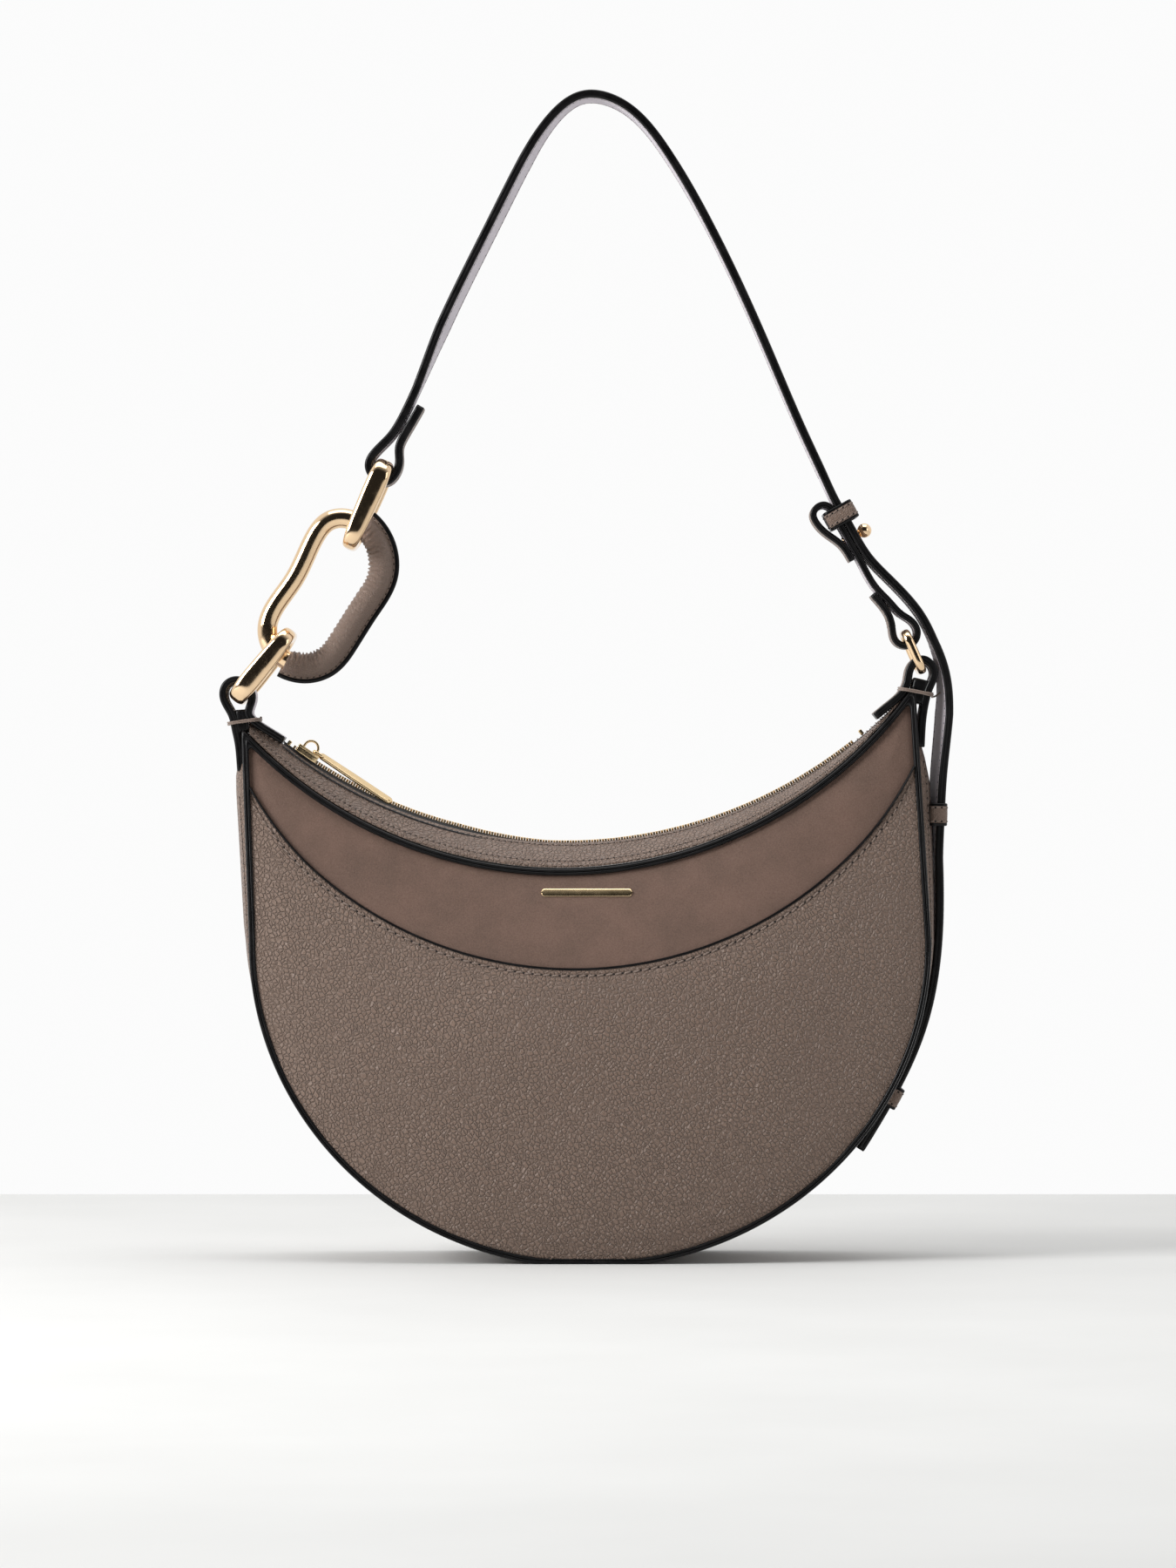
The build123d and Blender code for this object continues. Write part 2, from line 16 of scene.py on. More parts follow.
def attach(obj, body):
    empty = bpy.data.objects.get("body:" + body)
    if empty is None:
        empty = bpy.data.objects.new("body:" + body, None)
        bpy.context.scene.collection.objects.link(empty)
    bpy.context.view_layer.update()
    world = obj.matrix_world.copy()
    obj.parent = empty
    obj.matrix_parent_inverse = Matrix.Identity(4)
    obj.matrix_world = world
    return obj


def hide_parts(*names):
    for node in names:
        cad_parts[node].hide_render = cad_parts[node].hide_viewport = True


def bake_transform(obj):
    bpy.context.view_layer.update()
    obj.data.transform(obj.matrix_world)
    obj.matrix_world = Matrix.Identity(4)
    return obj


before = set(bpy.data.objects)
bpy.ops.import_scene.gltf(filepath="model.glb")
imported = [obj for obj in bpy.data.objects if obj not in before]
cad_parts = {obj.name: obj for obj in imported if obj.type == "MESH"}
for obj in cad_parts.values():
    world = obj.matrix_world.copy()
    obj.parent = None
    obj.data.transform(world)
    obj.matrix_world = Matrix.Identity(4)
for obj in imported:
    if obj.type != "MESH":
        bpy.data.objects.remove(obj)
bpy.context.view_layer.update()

MM = 0.001

# %% [markdown]
# An operator works on whatever is selected, and loading leaves every CAD piece selected.
# So each step starts from an empty selection, and picks one piece before it works on it.

# %% Selecting and finishing helpers
def deselect():
    if bpy.context.object is not None and bpy.context.object.mode != "OBJECT":
        bpy.ops.object.mode_set(mode="OBJECT")
    bpy.ops.object.select_all(action="DESELECT")


def pick(piece):
    deselect()
    piece.select_set(True)
    bpy.context.view_layer.objects.active = piece


def in_edit_mode(piece, *steps):
    """Run edit-mode operators on a piece with everything in it selected."""
    pick(piece)
    bpy.ops.object.mode_set(mode="EDIT")
    bpy.ops.mesh.select_all(action="SELECT")
    for step in steps:
        step()
    bpy.ops.object.mode_set(mode="OBJECT")


def weld(piece):
    in_edit_mode(
        piece,
        lambda: bpy.ops.mesh.remove_doubles(threshold=0.01 * MM),
        lambda: bpy.ops.mesh.fill_holes(sides=0),
        lambda: bpy.ops.mesh.normals_make_consistent(inside=False),
    )


def modify(piece, kind, **settings):
    pick(piece)
    modifier = piece.modifiers.new(kind.title(), kind)
    for name, value in settings.items():
        setattr(modifier, name, value)
    bpy.ops.object.modifier_apply(modifier=modifier.name)


def smooth(piece, degrees=40):
    pick(piece)
    bpy.ops.object.shade_smooth_by_angle(angle=math.radians(degrees))


deselect()

# %% [markdown]
# Most of the bag is leather cut flat and then bent, so most pieces start as a grid primitive.
# The grid is laid, point by point, on rows of places worked out from the pattern. A tube or a
# strap is the same grid rolled up: its first row of places is repeated at the end, and the
# seam is welded. This keeps even, square faces, which a grain or a bend needs to look right.

# %% Laying a grid on a pattern
def laid(name, places, ring=False, loop=False):
    """A grid laid on places, an array of rows of (x, y, z) in mm. ring closes each row."""
    places = np.asarray(places, float)
    if ring:
        places = np.concatenate([places, places[:, :1]], axis=1)
    if loop:
        places = np.concatenate([places, places[:1]], axis=0)
    rows, columns = places.shape[:2]
    deselect()
    bpy.ops.mesh.primitive_grid_add(
        x_subdivisions=columns - 1, y_subdivisions=rows - 1, size=1
    )
    piece = bpy.context.object
    piece.name = piece.data.name = name
    piece.data.vertices.foreach_set("co", (places * MM).ravel())
    piece.data.update()
    return piece


def parts(piece, part_of_column, rows):
    """Give each column of faces its material's number."""
    piece.data.polygons.foreach_set("material_index", list(part_of_column) * rows)


def facing(piece, direction):
    """Turn an open sheet so that its faces look this way on the whole."""
    total = Vector((0, 0, 0))
    for face in piece.data.polygons:
        total += face.normal * face.area
    if total.dot(Vector(direction)) < 0:
        in_edit_mode(piece, bpy.ops.mesh.flip_normals)


def facing_down(piece):
    """Turn a strip so that its lowest stretch looks down."""
    if piece.data.polygons[len(piece.data.polygons) // 2].normal.z > 0:
        in_edit_mode(piece, bpy.ops.mesh.flip_normals)


def thicken(piece, thickness):
    """Give a sheet its thickness in mm, inwards from the face it shows."""
    modify(piece, "SOLIDIFY", thickness=thickness * MM, offset=-1.0)


def dress(piece, body, materials, replaces=(), degrees=40):
    """Paint a finished piece, and let it ride on its body."""
    for material in materials:
        piece.data.materials.append(material)
    smooth(piece, degrees)
    if body:
        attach(piece, body)
    if replaces:
        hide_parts(*replaces)
    print(piece.name, len(piece.data.polygons), "faces")
    return piece


# %% [markdown]
# Straps, links and seams follow a smooth line through a few places. A natural cubic through
# them bends like a springy strip of leather does, and it is then walked in even steps.

# %% Smooth lines
def cubic(points, closed):
    """A cubic through points, as a function of the number of points passed."""
    points = np.asarray(points, float)
    if closed:
        points = np.concatenate([points[-4:], points, points[:5]])
    gaps = np.linalg.norm(np.diff(points, axis=0), axis=1)
    t = np.concatenate([[0], np.cumsum(gaps)])
    n = len(points)
    matrix, right = np.eye(n), np.zeros(points.shape)
    for i in range(1, n - 1):
        matrix[i, i - 1] = gaps[i - 1] / 6
        matrix[i, i] = (gaps[i - 1] + gaps[i]) / 3
        matrix[i, i + 1] = gaps[i] / 6
        right[i] = (points[i + 1] - points[i]) / gaps[i]
        right[i] -= (points[i] - points[i - 1]) / gaps[i - 1]
    bend = np.linalg.solve(matrix, right)
    first, last = (4, n - 5) if closed else (0, n - 1)

    def at(steps):
        s = np.linspace(t[first], t[last], steps)
        i = np.clip(np.searchsorted(t, s, side="right") - 1, 0, n - 2)
        h = gaps[i][:, None]
        a = (t[i + 1] - s)[:, None] / h
        b = 1 - a
        curve = a * points[i] + b * points[i + 1]
        return curve + ((a**3 - a) * bend[i] + (b**3 - b) * bend[i + 1]) * h**2 / 6

    return at


def evenly(line, count):
    """The same line with this many evenly spaced points."""
    line = np.asarray(line, float)
    run = np.concatenate([[0], np.cumsum(np.linalg.norm(np.diff(line, axis=0), axis=1))])
    want = np.linspace(0, run[-1], count)
    return np.stack([np.interp(want, run, line[:, k]) for k in range(line.shape[1])], 1)


def length_of(line):
    return float(np.linalg.norm(np.diff(np.asarray(line, float), axis=0), axis=1).sum())


def smooth_line(points, step, closed=False):
    dense = cubic(points, closed)(len(points) * 60)
    return evenly(dense, max(4, round(length_of(dense) / step)) + 1)


def along(line, closed=False):
    """Unit directions along a line."""
    line = np.asarray(line, float)
    if closed:
        ahead, behind = np.roll(line, -1, axis=0), np.roll(line, 1, axis=0)
        way = ahead - behind
    else:
        way = np.gradient(line, axis=0)
    return way / np.linalg.norm(way, axis=1)[:, None]


# %% [markdown]
# A swept piece is one cross-section carried along a line. Each place on the line has two
# directions: "a", which runs across the strap or tube, and "b", which points away from the
# bag. The section may change on the way, so that a link can be thicker along its sides.

# %% Sweeping a section
def in_plane(line, closed=False):
    """Places and directions for a line of (x, z) points: a is +Y and b is on its left."""
    way = along(line, closed)
    places = np.stack([line[:, 0], np.zeros(len(line)), line[:, 1]], 1)
    a = np.tile([0.0, 1.0, 0.0], (len(line), 1))
    b = np.stack([-way[:, 1], np.zeros(len(line)), way[:, 0]], 1)
    return places, a, b


def twisted(places_a_b, degrees):
    """Turn the directions about the line by so many degrees at each place."""
    places, a, b = places_a_b
    c, s = np.cos(np.radians(degrees))[:, None], np.sin(np.radians(degrees))[:, None]
    return places, a * c + b * s, b * c - a * s


def swept(name, places_a_b, section, closed=False):
    """A tube: section is (a, b) points all the way round, or one such ring per place."""
    places, a, b = places_a_b
    section = np.asarray(section, float)
    if section.ndim == 2:
        section = np.tile(section, (len(places), 1, 1))
    rings = places[:, None] + a[:, None] * section[..., :1] + b[:, None] * section[..., 1:]
    return laid(name, rings, ring=True, loop=closed)


def round_section(a, b, count, power=2.0):
    """A ring of points: power 2 is an ellipse, and more is squarer."""
    angles = np.arange(count) * 2 * math.pi / count
    c, s = np.cos(angles), np.sin(angles)
    return np.stack(
        [a * np.sign(c) * np.abs(c) ** (2 / power), b * np.sign(s) * np.abs(s) ** (2 / power)],
        1,
    )


# %% [markdown]
# ## Finishes
# A finish is a small network of nodes on Object coordinates, which are metres on a piece
# that sits at the origin. Two helpers keep each network short: one makes a material with its
# shader, and one adds a node and plugs in what it is given.

# %% Node helpers
def new_finish(name, **shader_values):
    material = bpy.data.materials.new(name)
    material.use_nodes = True
    shader = material.node_tree.nodes["Principled BSDF"]
    for socket, value in shader_values.items():
        shader.inputs[socket.replace("_", " ")].default_value = value
    return material, shader


def node(material, kind, settings=None, **sockets):
    made = material.node_tree.nodes.new("ShaderNode" + kind)
    for name, value in (settings or {}).items():
        setattr(made, name, value)
    for name, value in sockets.items():
        socket = made.inputs[int(name[1:])] if name[0] == "_" else made.inputs[name.replace("_", " ")]
        if isinstance(value, bpy.types.NodeSocket):
            material.node_tree.links.new(value, socket)
        else:
            socket.default_value = value
    return made


def plug(material, source, target):
    material.node_tree.links.new(source, target)


def bumped(material, shader, height, strength, distance):
    bump = node(material, "Bump", Height=height, Strength=strength, Distance=distance)
    plug(material, bump.outputs[0], shader.inputs["Normal"])


def object_places(material, scale=(1, 1, 1), turn=(0, 0, 0)):
    where = node(material, "TexCoord").outputs["Object"]
    return node(material, "Mapping", Vector=where, Scale=scale, Rotation=turn).outputs[0]


def ramp(material, value, low, high):
    """A straight ramp of a number from (in, out) to (in, out)."""
    made = node(material, "MapRange", Value=value)
    for i, number in enumerate((low[0], high[0], low[1], high[1]), start=1):
        made.inputs[i].default_value = number
    return made.outputs[0]


def blend_colours(material, factor, first, second):
    made = node(material, "Mix", {"data_type": "RGBA"})
    for socket, value in ((made.inputs[0], factor), (made.inputs[6], first), (made.inputs[7], second)):
        if isinstance(value, bpy.types.NodeSocket):
            plug(material, value, socket)
        else:
            socket.default_value = value if isinstance(value, float) else (*value, 1.0)
    return made.outputs[2]


# %% [markdown]
# Pebbled leather is cowhide drummed until its grain stands up in small round cells with fine
# creases between them. The cells come from a Voronoi texture that measures the distance to
# the nearest crease. Noise pushes the cells about first, or they would look like tiles, and
# they are drawn out along one direction as on real hide. The creases are painted darker than
# the cell tops, a painted shade, and the tops are polished by handling, so they are smoother.

# %% Leather
def leather(name, colour, cell_mm, depth, roughness, stretch=1.5, patches=0.10):
    material, shader = new_finish(
        name, Specular_IOR_Level=0.42, Sheen_Weight=0.12, Sheen_Roughness=0.45
    )
    where = object_places(material, turn=(0.0, 0.65, 0.0))
    push = node(material, "TexNoise", Vector=where, Scale=170.0, Detail=3.0)
    shift = node(material, "VectorMath", {"operation": "SCALE"}, _0=push.outputs["Color"], Scale=0.0012)
    moved = node(material, "VectorMath", {"operation": "ADD"}, _0=where, _1=shift.outputs[0])
    squeeze = node(material, "VectorMath", {"operation": "MULTIPLY"}, _0=moved.outputs[0])
    squeeze.inputs[1].default_value = (1.0, 1.0, 1.0 / stretch)
    cells = node(
        material, "TexVoronoi", {"feature": "DISTANCE_TO_EDGE"},
        Vector=squeeze.outputs[0], Scale=1000.0 / cell_mm,
    )
    tops = ramp(material, cells.outputs["Distance"], (0.0, 0.0), (0.20, 1.0))
    fine = node(material, "TexNoise", Vector=where, Scale=2600.0, Detail=4.0)
    broad = node(material, "TexNoise", Vector=where, Scale=26.0, Detail=4.0)
    strength = ramp(material, broad.outputs["Fac"], (0.3, 0.5), (0.65, 1.0))
    height = node(material, "Math", {"operation": "MULTIPLY"}, _0=tops, _1=strength)
    height = node(
        material, "Math", {"operation": "MULTIPLY_ADD"},
        _0=fine.outputs["Fac"], _1=0.22, _2=height.outputs[0],
    )
    bumped(material, shader, height.outputs[0], depth, 0.0007)
    # Painted shade: the colour is about a tenth darker down in the creases than on the cell tops.
    crease = blend_colours(material, tops, [c * 0.90 for c in colour], [c * 1.02 for c in colour])
    tone = ramp(material, broad.outputs["Fac"], (0.3, 1 - patches), (0.7, 1 + patches))
    tint = node(material, "VectorMath", {"operation": "SCALE"}, _0=crease, Scale=tone)
    plug(material, tint.outputs[0], shader.inputs["Base Color"])
    gloss = ramp(material, tops, (0.0, roughness + 0.14), (1.0, roughness))
    plug(material, gloss, shader.inputs["Roughness"])
    return material


TAUPE = (0.190, 0.130, 0.100)
panel_leather = leather("taupe_pebbled_leather", TAUPE, 1.7, 1.0, 0.42, stretch=1.4)
small_leather = leather("taupe_leather_on_small_parts", TAUPE, 1.1, 0.5, 0.44, stretch=1.1)
HANDLED_TAUPE = (0.215, 0.150, 0.118)
wrap_leather = leather("taupe_leather_wrapped", HANDLED_TAUPE, 0.9, 0.6, 0.38, stretch=1.2)

# %% [markdown]
# The yoke is the same hide with its nap raised: smoother and redder. It gets fine, short
# fibres from a stretched noise, a strong sheen, and soft clouds in its colour. The clouds are
# random tone and also a painted sheen, lighter and darker where the nap lies one way or the
# other, and the fibres are painted darker where they lie low, a painted shade.

# %% Suede
def suede(name, colour, nap_sheen_clouds, fibre=0.5, sheen=0.25, roughness=0.72):
    material, shader = new_finish(
        name, Specular_IOR_Level=0.25, Sheen_Weight=sheen, Sheen_Roughness=0.4
    )
    where = object_places(material)
    nap = node(material, "TexNoise", Vector=where, Scale=1500.0, Detail=6.0, Roughness=0.7)
    cloud = node(material, "TexNoise", Vector=where, Scale=48.0, Detail=5.0, Roughness=0.62)
    # Painted shade on the fibres: the colour is darker where the nap noise, which is also the bump, is low.
    fibre_shade_speck = ramp(material, nap.outputs["Fac"], (0.35, 0.84), (0.65, 1.14))
    soft = ramp(material, cloud.outputs["Fac"], (0.32, 0.0), (0.68, 1.0))
    # Painted sheen: the clouds lighten and darken the colour as the nap's sheen would, on top of random
    # tone.
    warm = blend_colours(material, soft, colour, nap_sheen_clouds)
    tint = node(material, "VectorMath", {"operation": "SCALE"}, _0=warm, Scale=fibre_shade_speck)
    plug(material, tint.outputs[0], shader.inputs["Base Color"])
    plug(
        material,
        ramp(material, nap.outputs["Fac"], (0.3, roughness + 0.12), (0.7, roughness - 0.1)),
        shader.inputs["Roughness"],
    )
    bumped(material, shader, nap.outputs["Fac"], fibre, 0.00025)
    return material


yoke_suede = suede("brown_yoke_suede", (0.128, 0.082, 0.063), (0.168, 0.104, 0.080), 0.8, 0.12)
strap_suede = suede("lilac_grey_strap_lining", (0.52, 0.48, 0.53), (0.60, 0.56, 0.61), 0.35)

# %% [markdown]
# Every cut edge is sealed with black edge paint. It dries glossy with a slightly wavy skin,
# and picks up faint scuffs, so it needs a low bump at two sizes and uneven gloss.

# %% Edge paint
edge_paint, shader = new_finish("black_edge_paint", Specular_IOR_Level=0.22)
where = object_places(edge_paint)
wavy = node(edge_paint, "TexNoise", Vector=where, Scale=420.0, Detail=3.0)
scuff = node(edge_paint, "TexNoise", Vector=where, Scale=90.0, Detail=6.0, Roughness=0.7)
ink = blend_colours(
    edge_paint, ramp(edge_paint, scuff.outputs["Fac"], (0.45, 0.0), (0.75, 1.0)),
    (0.0030, 0.0028, 0.0032), (0.008, 0.0075, 0.008),
)
plug(edge_paint, ink, shader.inputs["Base Color"])
plug(
    edge_paint, ramp(edge_paint, scuff.outputs["Fac"], (0.35, 0.26), (0.7, 0.40)),
    shader.inputs["Roughness"],
)
bumped(edge_paint, shader, wavy.outputs["Fac"], 0.08, 0.0004)

# %% [markdown]
# The links, ring, stud and zip parts are zinc with a pale gold plating, polished until they
# mirror the studio. The only texture is a faint unevenness and hair-fine handling marks.

# %% Gold plating
def plating(name, colour, roughness):
    material, shader = new_finish(name, Metallic=1.0)
    where = object_places(material)
    marks = node(material, "TexNoise", Vector=where, Scale=240.0, Detail=7.0, Roughness=0.75)
    plug(
        material,
        ramp(material, marks.outputs["Fac"], (0.4, roughness), (0.75, roughness + 0.10)),
        shader.inputs["Roughness"],
    )
    deep = [c * 0.93 for c in colour]
    uneven = ramp(material, marks.outputs["Fac"], (0.35, 0.0), (0.65, 1.0))
    tone = blend_colours(material, uneven, deep, colour)
    plug(material, tone, shader.inputs["Base Color"])
    bumped(material, shader, marks.outputs["Fac"], 0.04, 0.0003)
    return material


link_gold = plating("pale_gold_plating", (0.90, 0.66, 0.42), 0.08)
zip_gold = plating("zip_gold_plating", (0.86, 0.65, 0.38), 0.17)

# %% [markdown]
# Thread is twisted from three plies, which shows as slanting ridges. Zip tape is a tight
# black twill, and the lining is a plain beige cotton. All three are wave textures: one set of
# ridges for a twist, two crossed sets for a weave.

# %% Thread, tape and cloth
def woven(name, colour, pitch_mm, roughness, tilt, crossed):
    material, shader = new_finish(name, Specular_IOR_Level=0.3, Sheen_Weight=0.2)
    where = object_places(material, turn=(0, tilt, 0))
    scale = 1000.0 / pitch_mm / 3.2
    ridges = node(
        material, "TexWave", {"bands_direction": "X"},
        Vector=where, Scale=scale, Distortion=0.6, Detail=1.0,
    )
    height = ridges.outputs["Fac"]
    if crossed:
        across = node(
            material, "TexWave", {"bands_direction": "Z"},
            Vector=where, Scale=scale, Distortion=0.6, Detail=1.0,
        )
        height = node(
            material, "Math", {"operation": "MULTIPLY"}, _0=height, _1=across.outputs["Fac"]
        ).outputs[0]
    # Painted shade and highlight: the valleys between the ridges are painted darker and the ridge tops
    # lighter.
    tone = blend_colours(
        material, ramp(material, height, (0.0, 0.0), (0.8, 1.0)),
        [c * 0.55 for c in colour], [c * 1.1 for c in colour],
    )
    plug(material, tone, shader.inputs["Base Color"])
    gloss = ramp(material, height, (0.0, roughness + 0.1), (1.0, roughness))
    plug(material, gloss, shader.inputs["Roughness"])
    bumped(material, shader, height, 0.5, 0.0002)
    return material


thread = woven("taupe_thread", (0.27, 0.20, 0.165), 0.35, 0.5, 0.7, False)
zip_twill = woven("black_zip_twill", (0.012, 0.012, 0.014), 0.6, 0.7, 0.5, True)
lining_cotton = woven("beige_lining_cotton", (0.42, 0.36, 0.29), 0.5, 0.8, 0.0, True)
# Painted shade: a near-black finish for the flat discs that stand for the shade in the needle holes.
needle_hole_shade, shader = new_finish("needle_hole_shade", Roughness=0.9, Base_Color=(0.012, 0.009, 0.008, 1))
grime = node(needle_hole_shade, "TexNoise", Vector=object_places(needle_hole_shade), Scale=900.0)
dull = ramp(needle_hole_shade, grime.outputs["Fac"], (0.3, 0.8), (0.7, 0.95))
plug(needle_hole_shade, dull, shader.inputs["Roughness"])

# %% [markdown]
# ## The body's pattern
# Seen from the front, the body is an ellipse below and two nearly straight sides above, cut
# off by a hollow circle. Both panels, the seams and the strip between them all follow this
# outline, so it is worked out once, for any inset from the outer edge.

# %% The outline
HALF_WIDTH, HALF_HEIGHT, WIDEST_Z = 156.0, 148.0, 146.0
LEFT_LEAN, RIGHT_LEAN = 6.2 / 144, 8.1 / 144
TOP_X, TOP_Z, TOP_RADIUS = -13.5, 377.1, 197.9
LAP_X, LAP_Z, LAP_RADIUS = -7.3, 313.2, 179.6
LAP_END_RISE, LAP_END_FROM, LAP_END_RUN = 3.6, 125, 30
TIP_ROUNDING = 4.0
FLAT_RISE = 0.85  # how fast the base's flat rises with the inset


def left_side(z, inset=0.0):
    return -HALF_WIDTH + inset - LEFT_LEAN * (z - WIDEST_Z)


def right_side(z, inset=0.0):
    return HALF_WIDTH - inset - RIGHT_LEAN * (z - WIDEST_Z)


def top_edge(x, inset=0.0):
    return TOP_Z - np.sqrt((TOP_RADIUS + inset) ** 2 - (x - TOP_X) ** 2)


def lap_end_rise(x):
    return LAP_END_RISE * np.clip((np.abs(x) - LAP_END_FROM) / LAP_END_RUN, 0, 1.2) ** 2


def lap_edge(x, below=0.0):
    """The line where the lower front panel laps over the yoke; its ends turn up."""
    z = LAP_Z - np.sqrt((LAP_RADIUS + below) ** 2 - (x - LAP_X) ** 2)
    return z + lap_end_rise(x)


def meeting(side, edge, inset):
    """Where a side line meets an upper edge."""
    z = 220.0
    for _ in range(60):
        z = float(edge(side(z, inset), inset))
    return np.array([side(z, inset), z])


def lower_edge(inset, count):
    """From the widest point on the left, under the bag, to the widest on the right."""
    angles = np.linspace(math.pi, 2 * math.pi, count)
    x = (HALF_WIDTH - inset) * np.cos(angles)
    z = WIDEST_Z + (HALF_HEIGHT - inset) * np.sin(angles)
    return np.stack([x, np.maximum(z, FLAT_RISE * inset)], 1)


def rounded_corner(before, corner, after, count=10):
    """A corner between two lines, rounded off by TIP_ROUNDING."""
    start = corner + (before - corner) / np.linalg.norm(before - corner) * TIP_ROUNDING
    end = corner + (after - corner) / np.linalg.norm(after - corner) * TIP_ROUNDING
    t = np.linspace(0, 1, count)[:, None]
    return start * (1 - t) ** 2 + 2 * corner * t * (1 - t) + end * t**2


def outline(inset):
    """The whole closed outline with the same number of points for every inset."""
    left = meeting(left_side, top_edge, inset)
    right = meeting(right_side, top_edge, inset)
    xs = np.linspace(left[0] + 3, right[0] - 3, 150)
    top = np.stack([xs, top_edge(xs, inset)], 1)
    low_left = np.array([left_side(WIDEST_Z, inset), WIDEST_Z])
    low_right = np.array([right_side(WIDEST_Z, inset), WIDEST_Z])
    left_tip = rounded_corner(low_left, left, top[0])
    right_tip = rounded_corner(top[-1], right, low_right)
    right_line = np.linspace(right_tip[-1], low_right, 50)[1:-1]
    left_line = np.linspace(low_left, left_tip[0], 50)[1:-1]
    under = lower_edge(inset, 260)[::-1]
    return np.concatenate([left_tip, top[2:-2], right_tip, right_line, under, left_line])


print("outline points", len(outline(0)), "length", round(length_of(outline(0))), "mm")

# %% [markdown]
# Seen from the side, the two seams lean towards each other, and each panel bulges out of its
# seam most in the middle. Near the seam the leather dips, because the stitches pull it in,
# and it is never perfectly even, so a little noise is added to the bulge.

# %% The panels' depth
HALF_DEPTH, DEPTH_TAPER = 42.0, 0.128
BULGE, BULGE_RUN = 16.0, 60.0
SEAM_INNER = outline(3.2)


def half_depth(z):
    return HALF_DEPTH - DEPTH_TAPER * z


def bulge(x, z):
    below = np.maximum(0.0, (WIDEST_Z - z) / HALF_HEIGHT)
    rounded = 1 - (x / HALF_WIDTH) ** 2 - below**2
    from_top = np.hypot(x - TOP_X, z - TOP_Z) - TOP_RADIUS
    return BULGE * rounded * np.tanh(from_top / BULGE_RUN)


def from_seam(points):
    """Distance of each (x, z) point from the seam's inner line."""
    flat = points.reshape(-1, 2)
    nearest = np.empty(len(flat))
    for i in range(0, len(flat), 2000):
        gap = flat[i : i + 2000, None] - SEAM_INNER[None]
        nearest[i : i + 2000] = np.sqrt((gap**2).sum(2).min(1))
    return nearest.reshape(points.shape[:-1])


def unevenness(points, size, height, seed):
    """Soft hills and hollows, size across and height tall."""
    out = np.empty(points.shape[:-1])
    for index in np.ndindex(out.shape):
        x, z = points[index]
        out[index] = noise.noise(Vector((x / size, z / size, seed))) * height
    return out


def panel_depth(points, out, seed):
    """Distance from the middle plane, for (x, z) points lying out from the inner surface."""
    x, z = points[..., 0], points[..., 1]
    edge = from_seam(points)
    dip = 1.1 * np.exp(-edge / 1.8) + 0.5 * np.exp(-(((edge - 4.0) / 5.0) ** 2))
    calm = 1 - np.exp(-edge / 25.0)
    uneven = unevenness(points, 55.0, 0.9, seed) + unevenness(points, 21.0, 0.25, seed + 5)
    return half_depth(z) + bulge(x, z) + out - dip + uneven * calm


# %% [markdown]
# A panel has four edges, and the grid between them is the plain average of the edges, called
# a Coons patch. Its rows are set closer together beside a seam, where the stitches make the
# small shapes, and further apart in the middle of the panel.

# %% A patch between four edges
def coons(bottom, top, left, right, across, up, power=1):
    """across and up are shares from 0 to 1; power 2 keeps a hollow top from pushing far down."""
    def at(line, shares):
        run = np.concatenate([[0], np.cumsum(np.linalg.norm(np.diff(line, axis=0), axis=1))])
        want = shares * run[-1]
        return np.stack([np.interp(want, run, line[:, k]) for k in (0, 1)], 1)

    low, high = at(bottom, across)[None], at(top, across)[None]
    left_edge, right_edge = at(left, up)[:, None], at(right, up)[:, None]
    u, v = across[None, :, None], up[:, None, None]
    low_sag = low - (1 - u) * low[:, :1] - u * low[:, -1:]
    high_sag = high - (1 - u) * high[:, :1] - u * high[:, -1:]
    return (1 - u) * left_edge + u * right_edge + (1 - v) * low_sag + v**power * high_sag


def shares(count, near_start=0.0, near_end=0.0):
    """Shares from 0 to 1, closer together near the start or the end."""
    t = np.linspace(0, 1, count)
    density = 1 + near_start * np.exp(-t * 14) + near_end * np.exp(-(1 - t) * 14)
    run = np.concatenate([[0], np.cumsum(1 / ((density[1:] + density[:-1]) / 2))])
    return run / run[-1]


# %% [markdown]
# Rows of stitches run beside every seam. One stitch is modelled once: a six-sided rod whose
# ends are drawn in, with a flat near-black disc at its tail that is the painted shade of its
# needle hole. It is copied along a line, a little askew as a machine leaves it, and the row
# becomes one piece.

# %% One stitch and its rows
def stitch_pattern(length, thick):
    deselect()
    bpy.ops.mesh.primitive_cylinder_add(
        vertices=6, radius=thick * MM, depth=(length - 2 * thick) * MM, rotation=(0, math.pi / 2, 0)
    )
    rod = bpy.context.object
    bpy.ops.object.transform_apply(rotation=True)
    for end in (-1, 1):
        in_edit_mode(rod, lambda: bpy.ops.mesh.select_all(action="DESELECT"))
        for face in rod.data.polygons:
            face.select = face.normal.x * end > 0.9
        pick(rod)
        bpy.ops.object.mode_set(mode="EDIT")
        bpy.ops.mesh.extrude_region_move(TRANSFORM_OT_translate={"value": (end * thick * MM, 0, 0)})
        bpy.ops.transform.resize(value=(1, 0.45, 0.45))
        bpy.ops.object.mode_set(mode="OBJECT")
    return rod


# A flat disc that carries the painted shade of one needle hole.
def hole_shade_pattern(radius):
    deselect()
    bpy.ops.mesh.primitive_cylinder_add(vertices=6, radius=radius * MM, depth=0.16 * MM)
    hole = bpy.context.object
    in_edit_mode(hole, lambda: bpy.ops.mesh.bevel(offset=0.04 * MM, segments=1))
    return hole


def corners_and_faces(piece):
    co = np.array([v.co for v in piece.data.vertices], float)
    return co, [list(p.vertices) for p in piece.data.polygons]


